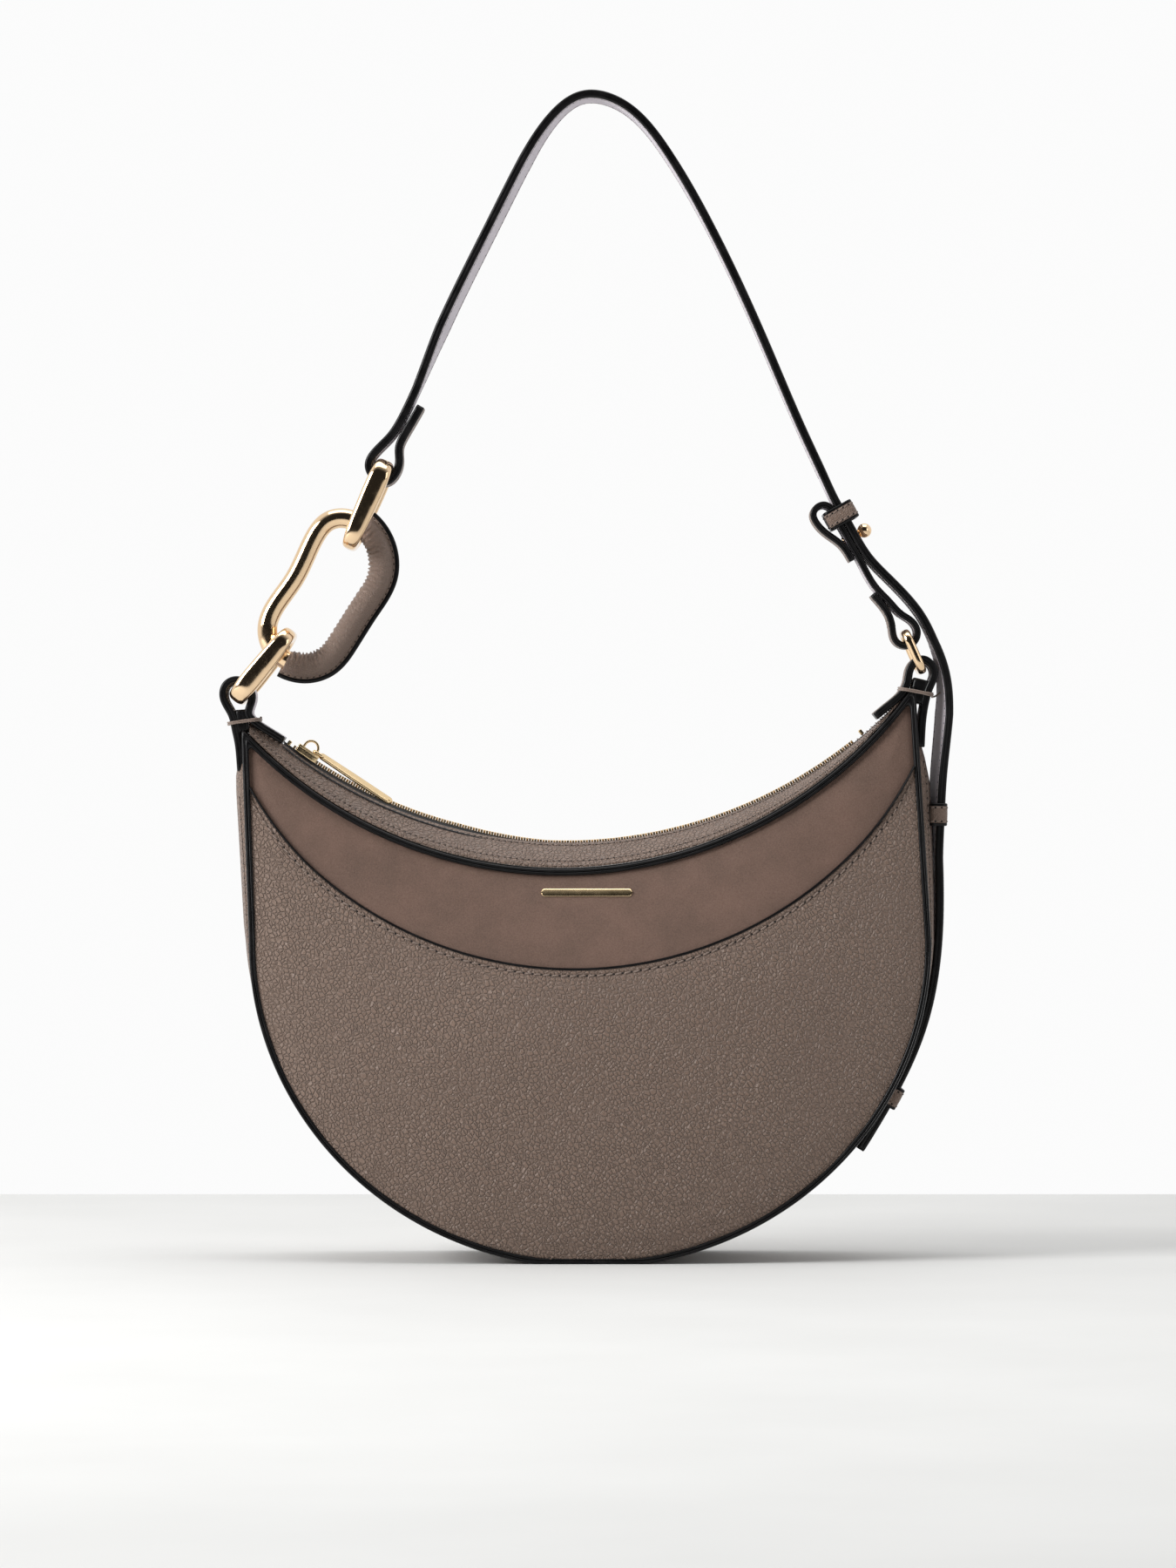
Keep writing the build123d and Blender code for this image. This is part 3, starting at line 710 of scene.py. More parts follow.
def copies(name, pattern, frames, materials, numbers=None):
    """One mesh from copies of a pattern. frames are (place mm, x, y, z directions)."""
    corners, faces, paint = [], [], []
    base = 0
    for k, (place, ax, ay, az) in enumerate(frames):
        co, polygons = pattern[numbers[k]] if numbers is not None else pattern
        corners.append(np.array(place) * MM + co @ np.array([ax, ay, az]))
        faces += [[base + i for i in polygon] for polygon in polygons]
        paint += [numbers[k] if numbers is not None else 0] * len(polygons)
        base += len(co)
    mesh = bpy.data.meshes.new(name)
    mesh.from_pydata(np.concatenate(corners).tolist(), [], faces)
    mesh.polygons.foreach_set("material_index", paint)
    piece = bpy.data.objects.new(name, mesh)
    bpy.context.scene.collection.objects.link(piece)
    for material in materials:
        mesh.materials.append(material)
    return piece


def unit(v):
    v = np.asarray(v, float)
    return v / np.linalg.norm(v)


HOLE_SHADE = hole_shade_pattern(0.52)
hole_shade_shape = corners_and_faces(HOLE_SHADE)
bpy.data.objects.remove(HOLE_SHADE)
stitch_shapes = {}


def stitches(name, line, outward, pitch, body, askew=9.0, thick=0.33, lift=0.12, closed=False):
    """A row along line, an array of (x, y, z) places; outward gives each one's face normal."""
    length = pitch * 0.74
    if (length, thick) not in stitch_shapes:
        rod = stitch_pattern(length, thick)
        stitch_shapes[(length, thick)] = corners_and_faces(rod)
        bpy.data.objects.remove(rod)
    count = max(2, round(length_of(line) / pitch))
    both = evenly(np.concatenate([line, outward], 1), 2 * count + 1)
    places, normals = both[:, :3], both[:, 3:]
    way = along(places)
    frames, numbers = [], []
    c, s = math.cos(math.radians(askew)), math.sin(math.radians(askew))
    for k in range(2 * count + (0 if closed else 1)):
        z = unit(normals[k])
        y = unit(np.cross(z, way[k]))
        x = np.cross(y, z)
        if k % 2:
            frames.append((places[k] + z * lift, x * c + y * s, y * c - x * s, z))
        else:
            frames.append((places[k] + z * 0.02, x, y, z))
        numbers.append(0 if k % 2 else 1)
    shapes = [stitch_shapes[(length, thick)], hole_shade_shape]
    piece = copies(name, shapes, frames, [thread, needle_hole_shade], numbers)
    smooth(piece, 60)
    if body:
        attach(piece, body)
    print(name, count, "stitches")
    return piece


# %% [markdown]
# ## The yoke
# The yoke is the curved band of suede under the top edge. It is skived thin, so that its
# lower edge makes no ridge where the front panel laps over it. The sheet is laid on the bulge
# and then thickened inwards with a Solidify modifier.

# %% Yoke
def panel_sheet(name, edges, out, side, seed, across, up, push=None, power=1):
    """A sheet on the front (side -1) or back (side 1) between four edges."""
    points = coons(*edges, across, up, power)
    points[..., 1] = np.maximum(points[..., 1], FLAT_RISE * TUCK)
    depth = panel_depth(points, out, seed)
    if push is not None:
        depth = depth + push(points)
    places = np.stack([points[..., 0], side * depth, points[..., 1]], -1)
    sheet = laid(name, places)
    in_edit_mode(sheet, lambda: bpy.ops.mesh.remove_doubles(threshold=0.002 * MM))
    facing(sheet, (0, side, 0))
    return sheet


def upper_line(edge, inset, start, end):
    xs = np.linspace(start[0], end[0], 400)
    return np.stack([xs, edge(xs, inset)], 1)


TUCK = 3.0
left_tip, right_tip = meeting(left_side, top_edge, TUCK), meeting(right_side, top_edge, TUCK)


def lap_lower(x, inset):
    return lap_edge(x, 7.0)


def lap_seen(x, inset):
    return lap_edge(x, 0.0)


low_left, low_right = meeting(left_side, lap_lower, TUCK), meeting(right_side, lap_lower, TUCK)
yoke = panel_sheet(
    "front_yoke_suede",
    (
        upper_line(lap_lower, 0, low_left, low_right),
        upper_line(top_edge, TUCK, left_tip, right_tip),
        np.linspace(low_left, left_tip, 60),
        np.linspace(low_right, right_tip, 60),
    ),
    1.2, -1, 3.0, shares(230, 3, 3), shares(46, 1, 2),
)
thicken(yoke, 1.1)
dress(yoke, "bag", [yoke_suede], ["front_yoke"])

# %% [markdown]
# ## The front panel
# The lower panel laps over the yoke. Its upper edge is cut, painted black and top-stitched
# 3 mm below the edge. The stitches sink into the leather, so the sheet has a shallow channel
# there, and the strip between channel and edge stands a little proud.

# %% Front panel
lap_left, lap_right = meeting(left_side, lap_seen, TUCK), meeting(right_side, lap_seen, TUCK)
LAP_STITCH = 3.0
PANEL_THICK = 1.3


def below_lap(points):
    """How far each point lies below the lap's edge, square to it."""
    x, z = points[..., 0], points[..., 1]
    away = np.hypot(x - LAP_X, z - LAP_Z) - LAP_RADIUS
    return away + lap_end_rise(x)


def lap_channel(points):
    below = below_lap(points)
    sink = -0.42 * np.exp(-(((below - LAP_STITCH) / 0.75) ** 2))
    return sink + 0.16 * np.exp(-(((below - 1.4) / 0.9) ** 2)) - 0.3 * np.exp(-below / 0.5)


def body_edge(start_z, side, inset, count=260):
    """One side of the outline from the base's flat up to this height."""
    under = lower_edge(inset, 700)
    half = under[: len(under) // 2][::-1] if side < 0 else under[len(under) // 2 :]
    x = left_side(start_z, inset) if side < 0 else right_side(start_z, inset)
    return evenly(np.concatenate([half, [[x, start_z]]]), count)


left_edge, right_edge = body_edge(lap_left[1], -1, TUCK), body_edge(lap_right[1], 1, TUCK)
fine_top = 1 - shares(118, 26, 2)[::-1]
front_panel = panel_sheet(
    "front_panel_leather",
    (
        np.linspace(left_edge[0], right_edge[0], 40),
        upper_line(lap_seen, 0, lap_left, lap_right),
        left_edge,
        right_edge,
    ),
    2.5, -1, 11.0, shares(190, 2, 2), fine_top, lap_channel, 2,
)
thicken(front_panel, PANEL_THICK)
dress(front_panel, "bag", [panel_leather], ["front_panel"])

# %% [markdown]
# The painted edge is a bead of its own. Edge paint wicks a little way over the face, so from
# the front it shows as a black line along the lap, broader where the edge turns up.

# %% Painted lap edge
def on_front(points, out, seed=11.0):
    points = np.asarray(points, float)
    return np.stack([points[:, 0], -panel_depth(points, out, seed), points[:, 1]], 1)


lap_line = evenly(upper_line(lap_seen, 0, lap_left, lap_right), 330)
share = np.linspace(-1, 1, len(lap_line))
places = on_front(lap_line, 1.9)
way = along(places)
across_way = np.cross(way, [0.0, -1.0, 0.0])
bead = round_section(0.95, 0.62, 12, 2.6)
rings = np.array([bead * (1.15 + 1.1 * abs(s) ** 4, 1.0) for s in share])
lap_bead = swept(
    "lap_edge_paint", (places, np.tile([0.0, -1.0, 0.0], (len(places), 1)), across_way),
    rings,
)
weld(lap_bead)
dress(lap_bead, "bag", [edge_paint])

lap_row = evenly(
    upper_line(lambda x, i: lap_edge(x, LAP_STITCH), 0, lap_left + (1.6, 0), lap_right - (1.6, 0)), 300
)
row_places = on_front(lap_row, 2.5 - 0.30)
stitches(
    "lap_stitches", row_places, np.tile([0.0, -1.0, 0.02], (len(row_places), 1)), 4.1, "bag", thick=0.42
)

# %% [markdown]
# ## The back panel
# The back is one plain panel, laid the same way and turned to face the back.

# %% Back panel
back_left, back_right = body_edge(left_tip[1], -1, TUCK), body_edge(right_tip[1], 1, TUCK)
back_panel = panel_sheet(
    "back_panel_leather",
    (
        np.linspace(back_left[0], back_right[0], 40),
        upper_line(top_edge, TUCK, left_tip, right_tip),
        back_left,
        back_right,
    ),
    1.4, 1, 23.0, shares(200, 2, 2), shares(120, 2, 3), None, 2,
)
thicken(back_panel, PANEL_THICK)
dress(back_panel, "bag", [panel_leather], ["back_panel"])

# %% [markdown]
# ## The painted seams
# Panel and side strip are sewn edge to edge with the cut edges outwards, and the pair of
# edges is painted black. The section has a shallow groove down its middle, where the two
# leathers meet, and the loop wanders by a tenth of a millimetre as handwork does.

# %% Seam rims
RIM_SECTION = np.array([
    (0.0, -1.2), (0.0, 1.5), (0.05, 2.2), (0.16, 2.65), (0.28, 2.8), (0.40, 2.68),
    (0.47, 2.4), (0.50, 2.15), (0.53, 2.4), (0.60, 2.68), (0.74, 2.8), (0.86, 2.6),
    (0.95, 2.2), (1.0, 1.5), (1.0, -1.2),
])
outer, inner = outline(0.0), SEAM_INNER


def seam_rim(name, side, seed):
    mesh_rows = []
    for out_point, in_point in zip(outer, inner):
        wander = 0.12 * noise.noise(Vector((out_point[0] / 9, out_point[1] / 9, seed)))
        share, rise = RIM_SECTION[:, :1], RIM_SECTION[:, 1] + wander
        xz = out_point * (1 - share) + in_point * share
        mesh_rows.append(np.stack([xz[:, 0], side * (half_depth(xz[:, 1]) + rise), xz[:, 1]], 1))
    rim = laid(name, mesh_rows, ring=True, loop=True)
    weld(rim)
    modify(rim, "SUBSURF", levels=1, render_levels=1)
    return rim


front_rim = seam_rim("front_seam_edge", -1, 1.0)
dress(front_rim, "bag", [edge_paint], ["front_rim"], 60)
back_rim = seam_rim("back_seam_edge", 1, 7.0)
dress(back_rim, "bag", [edge_paint], ["back_rim"], 60)

# %% [markdown]
# ## The side strip
# A long strip of leather joins the two panels round the sides and under the base. It bows
# out between the seams near the top, most on the right, and its ends are rounded off below
# the tips. Solidify thickens it inwards.

# %% Side strip
STRIP_INSET = 1.2
strip_left_top, strip_right_top = 240.5, 256.5
strip_line = np.concatenate([
    body_edge(strip_left_top, -1, STRIP_INSET, 330)[::-1],
    body_edge(strip_right_top, 1, STRIP_INSET, 350),
])
strip_line = evenly(strip_line, 620)
strip_way = along(strip_line)
strip_out = np.stack([strip_way[:, 1], -strip_way[:, 0]], 1)


LEFT_BOW = (
    (20, 118, 154, 215, 222, 226.5, 229, 231, 262),
    (0.4, 1.6, 4.2, 5.2, 5.0, 4.0, 2.2, 0.3, 0.1),
)
RIGHT_BOW = (
    (20, 110, 165, 198, 219, 230, 237, 241, 243, 262),
    (0.4, 1.2, 4.4, 5.6, 5.6, 4.0, 2.4, 1.0, 0.2, 0.1),
)


def bow(point):
    """How far the strip stands out there, at the middle of its width."""
    x, z = point
    return float(np.interp(z, *(LEFT_BOW if x < 0 else RIGHT_BOW)))


def strip_place(k, share):
    """A place on the strip's outer face; share runs from the front seam (-1) to the back."""
    x, z = strip_line[k] + strip_out[k] * bow(strip_line[k]) * (1 - abs(share) ** 3.2)
    return x, share * (half_depth(z) - 0.9), z


strip_shares = np.concatenate([[-1], np.linspace(-0.97, 0.97, 33), [1]])
strip_rows = [[strip_place(k, s) for s in strip_shares] for k in range(len(strip_line))]
strip = laid("side_strip_leather", strip_rows)
facing_down(strip)
thicken(strip, 1.8)
dress(strip, "bag", [panel_leather], ["gusset"])
SKIPPED = 26  # places without stitches at each end
STRIP_STITCH = 4.2
for side, name in ((-1, "front"), (1, "back")):
    rows = []
    for k in range(SKIPPED, len(strip_line) - SKIPPED):
        depth = half_depth(strip_line[k][1])
        rows.append(strip_place(k, side * (1 - STRIP_STITCH / depth)))
    out = strip_out[SKIPPED:-SKIPPED]
    outward = np.stack([out[:, 0], np.full(len(rows), side * 0.35), out[:, 1]], 1)
    stitches(f"side_strip_stitches_{name}", np.array(rows), outward, 3.4, "bag")

# %% [markdown]
# ## The zip's facings
# Two folded strips of leather close the top, from each seam up to the zip. Each is laid as a
# flat tube: over the top with a slight crown, round the fold beside the zip, and back below.

# %% Facings
ZIP_X, ZIP_Z, ZIP_RADIUS = -10.1, 404.9, 212.3
ZIP_LEFT, ZIP_RIGHT = -141.0, 131.5
FACING_LEFT, FACING_RIGHT = -156.5, 145.5
HALF_GAP = 4.5
FACING_DROP, CROWN = 1.5, 0.6


def crest(x, radius=ZIP_RADIUS):
    return ZIP_Z - np.sqrt(radius**2 - (x - ZIP_X) ** 2)


# share from seam to fold, and height above the straight line between them
FACING_SECTION = (
    (-0.03, 0.1), (0.06, 0.35), (0.16, 0.42), (0.24, 0.62), (0.40, 0.95), (0.58, 1.0), (0.74, 0.75),
    (0.83, 0.42), (0.90, 0.40), (0.96, 0.25), (0.99, 0.0), (1.0, -0.45), (0.99, -1.0), (0.96, -1.35),
    (0.8, -1.5), (0.5, -1.3), (0.2, -1.4), (-0.03, -1.5),
)


def facing_place(x, share, height, side):
    seam_z = float(top_edge(x)) + 1.7
    y = half_depth(seam_z) * (1 - share) + HALF_GAP * share
    end_xs = [FACING_LEFT, ZIP_LEFT, ZIP_RIGHT, FACING_RIGHT]
    drop = FACING_DROP + float(np.interp(x, end_xs, [3.4, 0, 0, 1.2]))
    z = seam_z * (1 - share) + (float(crest(x)) - drop) * share
    return x, side * y, z + height * CROWN


facing_xs = np.linspace(FACING_LEFT, FACING_RIGHT, 166)
tape_xs = np.linspace(ZIP_LEFT, ZIP_RIGHT, 90)
for side, name in ((-1, "front"), (1, "back")):
    rings = [[facing_place(x, s, h, side) for s, h in FACING_SECTION] for x in facing_xs]
    strip = laid(f"{name}_facing_leather", rings, ring=True)
    weld(strip)
    dress(strip, "bag", [panel_leather], [f"{name}_facing"], 50)
    for share, part in ((0.16, "seam"), (0.86, "fold")):
        row = np.array([facing_place(x, share, 0.44, side) for x in facing_xs[1:-1]])
        up = np.tile([0.0, side * 0.35, 0.94], (len(row), 1))
        stitches(f"{name}_facing_stitches_{part}", row, up, 2.8, "bag", thick=0.28, lift=0.05)

# %% [markdown]
# ## The zip
# The tapes are black twill with a corded edge under the facings' folds. A tooth is a small
# block whose head is inset and drawn out to hook its neighbour: it is modelled once, and each
# side's row is a row of copies along the zip's arc, half a pitch apart.

# %% Zip tapes
def zip_drop(x):
    """The zip sinks between the facings, least beside the slider's rest place."""
    return float(np.interp(x, [-100, -60, -20, 110], [0.1, 0.4, 2.2, 1.4]))


TAPE_SECTION = (
    (7.5, -2.4), (4.5, -2.0), (3.0, -1.2), (2.0, -0.8), (1.5, -0.1), (1.2, 0.15), (0.95, -0.1),
    (0.95, -0.9), (1.4, -1.5), (2.4, -2.0), (4.5, -2.7), (7.5, -3.0),
)
for side, name in ((-1, "front"), (1, "back")):
    rings = [
        [(x, side * y, float(crest(x)) - zip_drop(x) + h) for y, h in TAPE_SECTION] for x in tape_xs
    ]
    tape = laid(f"{name}_zip_tape_twill", rings, ring=True)
    weld(tape)
    dress(tape, "bag", [zip_twill], [f"{name}_zip_tape"], 50)

# %% [markdown]
# A tooth starts as a cube. The face that looks to the other row is inset, drawn out and
# flattened into a hook, and the edges are bevelled so that each tooth catches the light.

# %% Zip teeth
TOOTH_PITCH, TEETH_FROM, TEETH_TO = 2.5, -36.6, 38.8
TOOTH_ARC = ZIP_RADIUS - 0.7


def tooth_pattern():
    deselect()
    bpy.ops.mesh.primitive_cube_add(size=1)
    tooth = bpy.context.object
    tooth.scale = (1.05 * MM, 1.5 * MM, 2.3 * MM)
    bpy.ops.object.transform_apply(scale=True)
    in_edit_mode(tooth, lambda: bpy.ops.mesh.select_all(action="DESELECT"))
    for face in tooth.data.polygons:
        face.select = face.normal.y > 0.9
    pick(tooth)
    bpy.ops.object.mode_set(mode="EDIT")
    bpy.ops.mesh.inset(thickness=0.22 * MM)
    bpy.ops.mesh.extrude_region_move(TRANSFORM_OT_translate={"value": (0, 0.35 * MM, 0)})
    bpy.ops.transform.resize(value=(1.15, 1, 0.8))
    bpy.ops.object.mode_set(mode="OBJECT")
    modify(tooth, "BEVEL", width=0.14 * MM, segments=1, limit_method="ANGLE")
    return tooth


tooth = tooth_pattern()
tooth_shape = corners_and_faces(tooth)
bpy.data.objects.remove(tooth)


def on_arc(degrees, radius):
    a = math.radians(degrees)
    return np.array([ZIP_X + radius * math.sin(a), 0.0, ZIP_Z - radius * math.cos(a)])


def arc_frame(degrees):
    a = math.radians(degrees)
    return np.array([math.cos(a), 0, math.sin(a)]), np.array([-math.sin(a), 0, math.cos(a)])


step_degrees = math.degrees(TOOTH_PITCH / TOOTH_ARC)
tooth_count = int((TEETH_TO - TEETH_FROM) / step_degrees)
for side, shift, name in ((-1, 0.0, "front"), (1, 0.5, "back")):
    frames = []
    for k in range(tooth_count):
        degrees = TEETH_FROM + (k + shift) * step_degrees
        x, up = arc_frame(degrees)
        place = on_arc(degrees, TOOTH_ARC)
        place += np.array([0, side * 0.75, -zip_drop(place[0]) - 0.2])
        frames.append((place, x * -side, np.array([0.0, -side, 0.0]), up))
    teeth = copies(f"{name}_zip_teeth_row", tooth_shape, frames, [zip_gold])
    dress(teeth, "bag", [], [f"{name}_zip_teeth"], 30)
print(tooth_count, "teeth a side")

# %% [markdown]
# The stops are staples closed over the tape's end. The slider is a thick plate with two
# flanges that hold the teeth, and a wire hoop for the pull. Plates start as cubes: they are
# scaled, their ends drawn in, and every edge bevelled.

# %% Stops and slider
def block(name, size, place, x_way, z_way, bevel, taper=1.0):
    """A bevelled block of size (x, y, z) mm at place; taper narrows its far end."""
    deselect()
    bpy.ops.mesh.primitive_cube_add(size=1)
    made = bpy.context.object
    made.name = made.data.name = name
    made.scale = [s * MM for s in size]
    bpy.ops.object.transform_apply(scale=True)
    in_edit_mode(made, lambda: bpy.ops.mesh.subdivide(number_cuts=3))
    for vertex in made.data.vertices:
        share = vertex.co.x / (size[0] * MM) + 0.5
        vertex.co.y *= 1 + (taper - 1) * share
    modify(made, "BEVEL", width=bevel * MM, segments=3, limit_method="ANGLE")
    turn = Matrix((x_way, np.cross(z_way, x_way), z_way)).transposed().to_4x4()
    turn.translation = Vector(place) * MM
    made.data.transform(turn)
    return made


def join(name, *pieces):
    pick(pieces[0])
    for piece in pieces:
        piece.select_set(True)
    bpy.ops.object.join()
    pieces[0].name = pieces[0].data.name = name
    return pieces[0]


for angle, name, width, shifts in (
    (-37.4, "zip_top_stops", 1.5, (-0.75, 0.75)),
    (39.6, "zip_bottom_stop", 2.7, (0.0,)),
):
    x, up = arc_frame(angle)
    middle = on_arc(angle, TOOTH_ARC)
    staples = [
        block(f"{name}_{shift}", (1.7, width, 2.6), middle + np.array([0, shift, 0]), x, up, 0.35)
        for shift in shifts
    ]
    stop = join(f"{name}_metal", *staples)
    dress(stop, "bag", [zip_gold], [name], 30)

SLIDER_ANGLE, HOOP_UP, HOOP_RADIUS, HOOP_WIRE = -34.8, 4.8, 3.3, 1.2
x, up = arc_frame(SLIDER_ANGLE)
base = on_arc(SLIDER_ANGLE, ZIP_RADIUS)
y = np.array([0.0, 1.0, 0.0])
slider_plate = block("slider_plate", (11.0, 8.0, 1.3), base + up * 3.05, x, up, 0.4, 0.78)
flanges = [
    block(f"slider_flange_{s}", (10.6, 1.0, 2.7), base + up * 1.35 + y * s * 3.45, x, up, 0.35)
    for s in (-1, 1)
]
hoop_angles = np.linspace(0, math.pi, 30)
hoop = [base + up * 3.0 + x * HOOP_RADIUS]
hoop += [base + up * HOOP_UP + (x * math.cos(t) + up * math.sin(t)) * HOOP_RADIUS for t in hoop_angles]
hoop += [base + up * 3.0 - x * HOOP_RADIUS]
hoop = evenly(np.array(hoop), 46)
way = along(hoop)
hoop_frame = (hoop, np.tile(y, (len(hoop), 1)), np.cross(y, way))
hoop_piece = swept("slider_hoop", hoop_frame, round_section(0.75, HOOP_WIRE / 2, 12, 2.6))
weld(hoop_piece)
slider = join("zip_slider_metal", slider_plate, *flanges, hoop_piece)
dress(slider, "slider", [zip_gold], ["zip_slider"], 35)

# %% [markdown]
# The pull is a long flat bar. It is a slot-shaped grid with crowned faces, and its eye is a
# small frame at the top end that turns on the hoop.

# %% Zip pull
PULL_LENGTH, PULL_LIFT, PULL_TILT = 43.0, 1.2, 32.0
lift = math.radians(PULL_LIFT)
pull_x = x * math.cos(lift) + up * math.sin(lift)
pull_up = up * math.cos(lift) - x * math.sin(lift)
pull_origin = base + up * (HOOP_UP - 0.4)
tilt = math.radians(PULL_TILT)
face_across = y * math.cos(tilt) + pull_up * math.sin(tilt)
face_up = pull_up * math.cos(tilt) - y * math.sin(tilt)
pull_rows = []
pull_shares = np.concatenate([[0, 0.004, 0.012, 0.03], np.linspace(0.07, 0.93, 22), [0.97, 0.988, 0.996, 1]])
for s in pull_shares:
    end = min(s, 1 - s) * PULL_LENGTH
    half = 2.5 * math.sqrt(max(0.02, 1 - max(0.0, 1 - end / 1.6) ** 2))
    half *= 0.82 + 0.18 * min(1.0, s * 2.2)
    ring = round_section(half, 0.9, 20, 3.6)
    centre = pull_origin + pull_x * (5.2 + s * (PULL_LENGTH - 3.6))
    pull_rows.append(centre + face_across * ring[:, :1] + face_up * ring[:, 1:])
pull_bar = laid("pull_bar", pull_rows, ring=True)
weld(pull_bar)
eye_line = np.array([(1.9, 0.0), (2.2, 1.5), (4.6, 1.9), (6.6, 1.7), (6.6, -1.7), (4.6, -1.9), (2.2, -1.5)])
eye_line = smooth_line(eye_line, 0.25, closed=True)[:-1]
eye_way = along(eye_line, True)
eye_places = pull_origin + eye_line[:, :1] * pull_x + eye_line[:, 1:] * y
eye_side = eye_way[:, 1:] * -pull_x + eye_way[:, :1] * y
eye_frame = (eye_places, np.tile(pull_up, (len(eye_line), 1)), eye_side)
pull_eye = swept("pull_eye", eye_frame, round_section(0.75, 0.55, 10), True)
weld(pull_eye)
pull = join("zip_pull_metal", pull_bar, pull_eye)
dress(pull, "pull", [zip_gold], ["zip_pull"], 40)

# %% [markdown]
# ## The chain
# The two small links are cast ovals, seen edge on. Their section is a rounded square, so each
# long side shows one broad flat face, and it swells along the sides and slims at the ends.
# The ring at the other end is a plain oval wire.

# %% Oval links and ring
def rounded_rectangle(half_long, half_wide, corner, step):
    """Points round a rectangle, with a place every step degrees of each corner."""
    line = []
    for su, sv, first in ((1, 1, 0), (-1, 1, 90), (-1, -1, 180), (1, -1, 270)):
        for degrees in range(first, first + 91, step):
            t = math.radians(degrees)
            u = su * (half_long - corner) + corner * math.cos(t)
            line.append((u, sv * (half_wide - corner) + corner * math.sin(t)))
    return np.array(line + line[:1])


def oval(ends, half_width, corner, count):
    """A closed rounded rectangle through the Y axis, with its directions."""
    (x0, z0), (x1, z1) = ends
    start, end = np.array([x0, 0, z0]), np.array([x1, 0, z1])
    forward = unit(end - start)
    half = np.linalg.norm(end - start) / 2
    line = evenly(rounded_rectangle(half, half_width, corner, 6), count + 1)[:-1]
    for _ in range(3):
        line = (np.roll(line, 1, axis=0) + line * 2 + np.roll(line, -1, axis=0)) / 4
    way = along(line, True)
    middle = (start + end) / 2
    places = middle + line[:, :1] * forward + line[:, 1:] * np.array([0, 1.0, 0])
    normal = np.cross(forward, [0, 1.0, 0])
    inward = way[:, 1:] * forward * -1 + way[:, :1] * np.array([0, 1.0, 0])
    toward_end, toward_side = np.abs(line[:, 0]) / half, np.abs(line[:, 1]) / half_width
    return (places, np.tile(normal, (count, 1)), inward), toward_end, toward_side


LINK_HALF_WIDTH, LINK_CORNER, LINK_PLACES = 13.7, 5.5, 160


def chain_link(name, node_name, ends, body, seed, wide_end):
    """wide_end is 1 where the first of the two ends is the broad one, and -1 for the second."""
    frame_of_link, toward_end, _ = oval(ends, LINK_HALF_WIDTH, LINK_CORNER, LINK_PLACES)
    middle = np.array([np.mean([e[0] for e in ends]), 0, np.mean([e[1] for e in ends])])
    to_first = unit(np.array([ends[0][0], 0, ends[0][1]]) - middle)
    lean = (frame_of_link[0] - middle) @ to_first * wide_end / 18.0
    rings = []
    for k, end in enumerate(toward_end):
        swell = 1.14 - 0.24 * end**3 + 0.10 * lean[k]
        hand = 0.04 * noise.noise(Vector((k / LINK_PLACES * 5, seed, 0)))
        rings.append(round_section(4.2 * (swell + hand), 3.2 * (1.0 - 0.06 * end), 32, 2.9))
    link = swept(name, frame_of_link, np.array(rings), True)
    weld(link)
    return dress(link, body, [link_gold], [node_name], 60)


LOWER_LINK_ENDS = ((-161.7, 258.5), (-138.9, 286.4))
UPPER_LINK_ENDS = ((-110.2, 328.8), (-94.7, 364.0))
RING_ENDS = ((152.4, 270.3), (144.9, 287.2))
chain_link("lower_chain_link_gold", "lower_link", LOWER_LINK_ENDS, "lower_chain_link", 2.0, 1)
chain_link("upper_chain_link_gold", "upper_link", UPPER_LINK_ENDS, "upper_chain_link", 9.0, -1)
ring_frame, _, _ = oval(RING_ENDS, 12.4, 4.4, 140)
ring_piece = swept("oval_ring_gold", ring_frame, round_section(2.05, 1.75, 24, 2.3), True)
weld(ring_piece)
dress(ring_piece, "ring", [link_gold], ["oval_ring"], 60)

# %% [markdown]
# The big link is a tube bent into an irregular loop. Half of it stays bare. The other half is
# wrapped in leather whose edges are sewn together into a flange along the outside. Wrapped
# leather has too much length on the inside of a bend, so it gathers there in fine wrinkles:
# these are modelled as ripples that fade out towards the flange.

# %% Big link
BIG_LINK_LINE = (
    (-113.2, 340.4), (-120.6, 339.0), (-126.4, 332.6), (-130.8, 323.6),
    (-136.6, 312.0), (-144.2, 301.2), (-148.6, 291.0), (-146.6, 281.0),
    (-139.6, 274.8), (-131.0, 272.8), (-122.8, 275.2), (-114.8, 284.4),
    (-104.6, 300.4), (-96.8, 315.0), (-98.0, 327.4), (-104.6, 336.6),
)
big_line = smooth_line(BIG_LINK_LINE, 1.2, closed=True)[:-1]
places, a, b = in_plane(big_line, closed=True)
big_link = swept("big_chain_link_gold", (places, a, -b), round_section(4.6, 4.6, 36, 2.15), True)
weld(big_link)
dress(big_link, "big_chain_link", [link_gold], ["big_link"], 60)

# %% [markdown]
# The wrap is one tube laid along the right half of the link. Its ring of places runs round
# the leather from one side of the flange to the other, and then round the flange itself,
# with a nick where the stitches pull it in. The painted columns are the flange's cut edge.

# %% Leather wrap
WRAP_STEP, WRAP_RADIUS, WRINKLE_PITCH = 0.38, 5.35, 2.5
HALF_FLANGE = (
    (-1.15, 5.4), (-1.12, 5.7), (-0.95, 6.0), (-1.12, 6.3),
    (-1.25, 6.5), (-1.3, 7.6), (-1.1, 8.2), (-0.5, 8.5),
)
WRAP_FLANGE = list(HALF_FLANGE) + [(-p, q) for p, q in reversed(HALF_FLANGE)]
FIRST_PAINTED, LAST_PAINTED = 49, 55
dense = smooth_line(BIG_LINK_LINE, WRAP_STEP, closed=True)[:-1]


def nearest(line, point):
    return int(np.argmin(np.linalg.norm(line - np.array(point), axis=1)))


